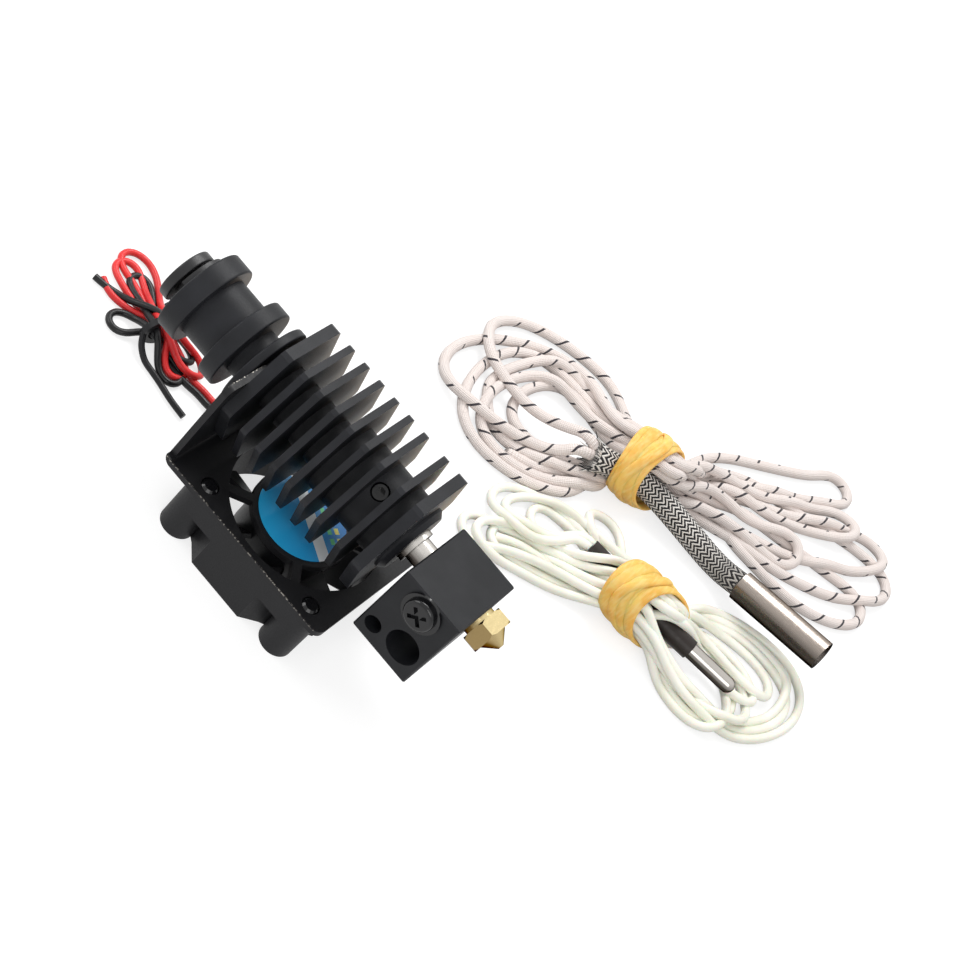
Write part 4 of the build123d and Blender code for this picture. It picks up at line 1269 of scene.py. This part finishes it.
    def fray(self) -> None:
        """Makes the loose yarns that stand out round the sleeve's cut end."""
        chance = random.Random(7)
        start, then = (Vector(point) for point in self.sleeve_points[:2])
        back = (start - then).normalized()
        side = back.cross(Vector((0, 0, 1))).normalized()
        up = side.cross(back)
        shape = bmesh.new()
        for number in range(self.hairs):
            turn = math.tau * number / self.hairs
            radial = side * math.cos(turn) + up * math.sin(turn)
            long = chance.uniform(*self.hair_long)
            aim = (back * chance.uniform(0.6, 1.0) + radial * chance.uniform(0.1, 0.7)).normalized()
            foot = start + radial * self.sleeve_r * self.flare[0] * 0.94
            made = bmesh.ops.create_cone(shape, cap_ends=True, segments=5, radius1=self.hair_r[0] * MM,
                                         radius2=self.hair_r[1] * MM, depth=long * MM)
            turned = aim.to_track_quat("Z", "Y").to_matrix().to_4x4()
            moved = Matrix.Translation(metres(foot + aim * (long / 2 - self.hair_root))) @ turned
            bmesh.ops.transform(shape, matrix=moved, verts=made["verts"])
            dark = int(chance.random() < 0.5)
            for face in {face for vert in made["verts"] for face in vert.link_faces}:
                face.material_index = dark
        yarns = (PlainCoat("white_glass_yarn", "e9e5e0", 0.7), PlainCoat("black_glass_yarn", "232224", 0.7))
        add_piece(as_mesh("heater_sleeve_fray", shape), "sleeve_braid", *(yarn.make() for yarn in yarns))

    def build(self) -> None:
        """Makes the whole heater group."""
        self.sleeve()
        self.leads()
        RubberBand("heater_band_wraps", "heater_band", self.band, self.wraps).build()


# ---------------------------------------------------------------- thermistor
@dataclass
class Thermistor:
    """Thermistor probe's two leads in a hank and the band round them."""

    shrink_start: tuple[float, float, float] = (69.3, 54.6, -19.5)
    joint: tuple[float, float, float] = (90.0, 56.6, -19.5)
    shrink_end: tuple[float, float, float] = (94.4, 57.4, -19.5)
    tip: tuple[float, float, float] = (104.8, 59.2, -19.5)
    shrink_r: float = 1.9
    probe_r: float = 1.5
    lead_r: float = 0.875
    clear: tuple[float, ...] = (1.8, 3.6, 5.4)
    band: Band = Band((83.6, 54.7), 8.0, -18.7, 5.3, 5.0)
    wraps: tuple[Wrap, ...] = (
        Wrap(-4.2, 0.7, 2.4, 0.0, 0.3), Wrap(-2.8, 0.78, 2.6, 0.3, 0.4), Wrap(-1.3, 0.8, 2.6, 0.0, -0.3),
        Wrap(0.2, 0.82, 2.6, 0.32, 0.3), Wrap(1.6, 0.86, 2.6, 0.0, -0.3), Wrap(2.7, 0.9, 2.2, 0.12, 0.2),
        Wrap(-1.0, 0.6, 2.0, 0.6, 1.2))

    def hank(self) -> Hank:
        """Sets up the hank, with the shrink tube and the probe as solid rods in it.

        Returns:
            The hank, kept clear of them towards the viewer.
        """
        rods = [(self.shrink_start, self.joint, self.shrink_r), (self.joint, self.shrink_end, self.shrink_r),
                (self.shrink_end, self.tip, self.probe_r)]
        after = tuple(Vector(self.shrink_start).lerp(Vector(self.joint), 0.9))
        for start, end in ((after, self.shrink_end), (self.shrink_end, self.tip)):
            rods += towards_viewer(start, end, self.shrink_r, self.clear)
        return Hank(self.band, 4.0, self.lead_r, slots=13, slot_start=-80.0, slot_step=27.7,
                    inner_start=122.0, inner_step=58.0, inner_reach=0.5, zone=1.5, rods=tuple(rods), step=1.4)

    def lead_routes(self, hank: Hank) -> list[np.ndarray]:
        """Lays the two leads, from the shrink tube's open end to their bare ends.

        Args:
            hank: the hank that they pass through.

        Returns:
            The way of each lead.
        """
        start_low = Lobe((49.5, 48.5), (1.5, 5.0, 4.5), (-6.0, -8.0, -9.5), 3.0)
        start_high = Lobe((52.5, 48.0), (0.0, 2.0, 2.5), (-6.0, -9.5, -11.0), 3.5)
        left = [
            Lobe((50.5, 36.0), (0.5, 1.0, 2.0), (-4.0, -4.0, -3.0), 1.0, None, (75.0, 53.4, -16.4)),
            Lobe((63.5, 65.0), (-3.0, -2.5, 2.0), (-8.0, -6.5, -4.0), 4.0),
            Lobe((55.0, 39.5), (1.5, 1.5, 0.5), (-3.5, -3.0, -2.5), 0.0),
            Lobe((53.0, 36.5), (2.0, 2.0, 1.5), (-4.5, -5.0, -4.0), 2.0, None, (73.5, 55.2, -16.2)),
            Lobe((56.5, 52.0), (0.0, 1.0, 1.0), (-6.0, -7.0, -5.0), 1.5),
            Lobe((58.0, 43.0), (1.0, 1.5, 0.5), (-3.0, -3.0, -2.5), 0.5),
        ]
        right = [
            Lobe((115.0, 79.5), (9.5, 10.5, 7.0), (-8.5, -13.5, -14.0), 0.0),
            Lobe((108.0, 52.0), (9.5, 12.0, 8.0), (-3.0, -5.0, -4.5), 2.0),
            Lobe((110.5, 66.0), (7.5, 9.0, 6.0), (-3.0, -0.5, 3.5), 4.0),
            Lobe((112.0, 77.0), (9.0, 10.5, 6.0), (-8.0, -12.0, -12.0), 1.5),
            Lobe((113.5, 75.5), (8.5, 9.5, 5.5), (-7.5, -12.5, -11.5), 0.5),
            Lobe((110.5, 73.5), (7.5, 8.0, 4.0), (-5.0, -1.0, 5.5), 4.5),
            Lobe((110.5, 63.5), (8.0, 8.5, 4.5), (-7.0, -8.0, -5.0), 2.5),
            Lobe((109.0, 56.0), (8.5, 11.0, 7.0), (-3.5, -5.5, -4.0), 0.5),
        ]
        low, high = self.shrink_start, (self.shrink_start[0] + 0.3, self.shrink_start[1] + 0.9, -19.2)
        first = hank.route([low, (66.0, 53.9, -20.0), *hank.fold(-1, start_low)[1:]],
                           [right[0], left[0], right[1], left[1], right[2], left[2], right[3]],
                           [6, 9, 4, 11, 2, 14, 1, 8], [(68.0, 49.0, -22.0), (60.0, 45.5, -23.7)])
        second = hank.route([high, (66.2, 55.2, -19.4), *hank.fold(-1, start_high)[1:]],
                            [right[4], left[3], right[5], left[4], right[6], left[5], right[7]],
                            [5, 10, 3, 7, 0, 13, 12, 15], [(66.0, 47.0, -22.0), (57.0, 42.0, -23.7)])
        return [first, second]

    def build(self) -> None:
        """Makes the whole thermistor group."""
        hank = self.hank()
        finish = SoftCover("smooth_cream_silicone", "f3f2e7", "e6e6d6")
        for number, chain in enumerate(hank.settle(self.lead_routes(hank)), 1):
            Lead(f"thermistor_lead_{number}", every_other(chain), self.lead_r, self.shrink_start,
                 ("thermistor_lead_hank",), "lead_cream").build(finish)
        RubberBand("thermistor_band_wraps", "thermistor_band", self.band, self.wraps).build()


# ---------------------------------------------------------------- fan leads
@dataclass
class FanLeads:
    """The fan's red and black leads, folded up and tied beside the mount."""

    lead_r: float = 0.62
    exit_y: float = 9.0
    half_gap: float = 0.75
    tie: Band = Band((-3.2, 10.0), -17.0, -21.2, 3.1, 2.3)

    def run_in(self, side: int) -> list[tuple[float, float, float]]:
        """A lead's way from the fan's frame down to the floor beside the tie.

        Args:
            side: 1 for the red lead, -1 for the black one.

        Returns:
            Its points.
        """
        y = self.exit_y + side * self.half_gap
        return [(21.65, y, -17.6), (18.45, y, -17.6), (15.25, y + 0.4, -22.0), (11.85, y + 0.7, -23.83),
                (8.6, y + 0.8, -23.88)]

    def build(self) -> None:
        """Makes the two leads."""
        hank = Hank(self.tie, 0.8, self.lead_r, slots=10, slot_start=-70.0, slot_step=36.0, first=-1,
                    step=1.0)
        red_left = [Lobe((-20.0, 17.0), (-0.5, 0.0, 1.0), (-5.0, -5.5, -3.0), 2.0),
                    Lobe((-19.0, 15.5), (0.5, 1.0, 1.5), (-3.0, -2.5, -2.0), 0.5)]
        red_right = [Lobe((6.0, 7.0), (-1.0, -1.5, -1.0), (1.5, 2.0, 1.5), 0.5),
                     Lobe((7.5, 10.5), (-1.0, -1.0, 0.0), (3.0, 4.0, 2.5), 2.0)]
        black_left = [Lobe((-16.0, 16.5), (-1.5, -1.5, -0.5), (-1.0, 0.0, 1.0), 1.0),
                      Lobe((-11.5, 4.5), (4.0, 3.0, 1.5), (0.5, -1.0, -1.0), 0.0)]
        black_right = [Lobe((6.5, 7.5), (-1.5, -2.0, -1.0), (1.0, 1.5, 1.0), 0.0),
                       Lobe((4.5, 12.0), (-0.5, 0.0, 0.5), (3.0, 3.0, 2.0), 1.0)]
        start_red, start_black = self.run_in(1), self.run_in(-1)
        red = hank.route([start_red[-1], (4.5, 9.8, -23.8)],
                         [red_left[0], red_right[0], red_left[1], red_right[1]], [0, 4, 1, 5, 2],
                         [(-12.0, 8.5, -23.5), (-16.5, 9.5, -23.9)])
        black = hank.route([start_black[-1], (4.5, 8.3, -23.8)],
                           [black_left[0], black_right[0], black_left[1], black_right[1]], [9, 6, 8, 7, 3],
                           [(-11.0, 10.0, -22.5), (-17.0, 8.5, -23.9)])
        settled = hank.settle([red, black])
        colours = (("red", "e23434", "c4262a"), ("black", "101012", "0b0b0c"))
        for chain, start, (word, colour, deep) in zip(settled, (start_red, start_black), colours):
            Lead(f"fan_{word}_lead", [*start[:-1], *every_other(chain)], self.lead_r, start[0],
                 (f"fan_lead_{word}", "fan_lead_hank"), f"pvc_{word}").build(
                SoftCover(f"{word}_pvc", colour, deep, 0.32, 0.05))


# ---------------------------------------------------------------- finishes of the solid pieces
ALONG_X = (14.0, 1.0, 1.0)
FINISHES = {
    "heatsink": BlackAnodised(),
    "heater_block": BlackAnodised("black_anodised_block", "141518", "1d1e21", 0.42, 0.12, "141518"),
    "heatbreak": TurnedMetal("polished_stainless", "dcd8d2", 0.24, "4f4a46"),
    "nozzle": TurnedMetal("turned_brass", "e3cf9c", 0.18, "6b532c"),
    "coupler_insert": TurnedMetal("brass_insert", "cbb27c", 0.3, "8c7444"),
    "ptfe_liner": MouldedPlastic("waxy_ptfe", "f2f1ea", 0.35, subsurface=0.3),
    "collet": MouldedPlastic("black_acetal", "19191b", 0.4, specular=0.4),
    "collet_clip": MouldedPlastic("black_nylon_clip", "1c1c1e", 0.42, specular=0.4),
    "heatbreak_set_screw": BlackOxide("black_oxide_set_screw"),
    "block_washer": BlackOxide("black_oxide_washer"),
    "block_screw": BlackOxide("black_oxide_block_screw"),
    "fan_screws": BlackOxide("black_oxide_fan_screws"),
    "fan_bracket": PowderCoat(),
    "fan_frame": MouldedPlastic("fan_frame_pbt", "1b1b1d", 0.52, 0.25, 0.015),
    "fan_rotor": MouldedPlastic("fan_rotor_pbt", "151517", 0.4, specular=0.4),
    "fan_label": PrintedLabel((36.65, 0.0)),
    "fan_pcb": PlainCoat("green_solder_mask", "1f7a45", 0.35),
    "fan_stator": PlainCoat("stamped_steel_stack", "8a8a8c", 0.45, 1.0),
    "fan_coils": PlainCoat("enamelled_copper", "b5622b", 0.3, 1.0),
    "fan_bearing": PlainCoat("sintered_bronze", "9c7440", 0.5, 1.0),
    "fan_magnet_ring": PlainCoat("bonded_ferrite", "303032", 0.6),
    "fan_shaft": TurnedMetal("ground_steel_shaft", "c9c7c3", 0.2, "6e6c69"),
    "fan_lead_red": PlainCoat("red_pvc_core", "c8242b", 0.35),
    "fan_lead_black": PlainCoat("black_pvc_core", "1c1c1e", 0.35),
    "fan_lead_hank": PlainCoat("pvc_hank_core", "6a2024", 0.4),
    "heater_sleeve": PlainCoat("woven_sleeve_core", "8b8784", 0.8),
    "heater_lead_hank": PlainCoat("fibreglass_hank_core", "e9e0dc", 0.8),
    "heater_band": PlainCoat("rubber_core", "e2a63e", 0.6),
    "thermistor_lead_hank": PlainCoat("silicone_hank_core", "e8eadb", 0.5),
    "thermistor_band": PlainCoat("rubber_core_small", "e2a63e", 0.6),
    "fan_lead_tie": MouldedPlastic("black_nylon_tie", "1a1a1c", 0.4),
    "heater_sheath": TurnedMetal("drawn_stainless_sheath", "b0a59c", 0.25, "443f3b", 0.3, 0.001, ALONG_X),
    "heater_core": PlainCoat("white_ceramic", "d6d8dc", 0.7),
    "thermistor_sheath": TurnedMetal("drawn_stainless_probe", "c4bfb9", 0.16, "4d4946", 0.3, 0.001, ALONG_X),
    "thermistor_bead": PlainCoat("glass_bead", "b5482a", 0.15),
    "thermistor_shrink": MouldedPlastic("brown_black_shrink_tube", "2a2421", 0.42, 0.8, 0.03),
}


def dress(nodes: dict) -> None:
    """Gives every CAD piece that still shows its own procedural finish.

    Args:
        nodes: CAD objects by node name.
    """
    for name, finish in FINISHES.items():
        material = finish.make()
        for slot in nodes[name].material_slots:
            slot.material = material
    log.info("%d solid pieces finished, %d others", len(FINISHES), len(nodes) - len(FINISHES))


def main() -> None:
    """Builds the scene piece by piece."""
    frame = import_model()
    log.info("frame loaded with %d nodes", len(frame["nodes"]))
    Studio().build()
    dress(frame["nodes"])
    Heater().build()
    Thermistor().build()
    FanLeads().build()


if __name__ == "__main__":
    logging.basicConfig(level=logging.INFO, format="%(message)s")
    main()
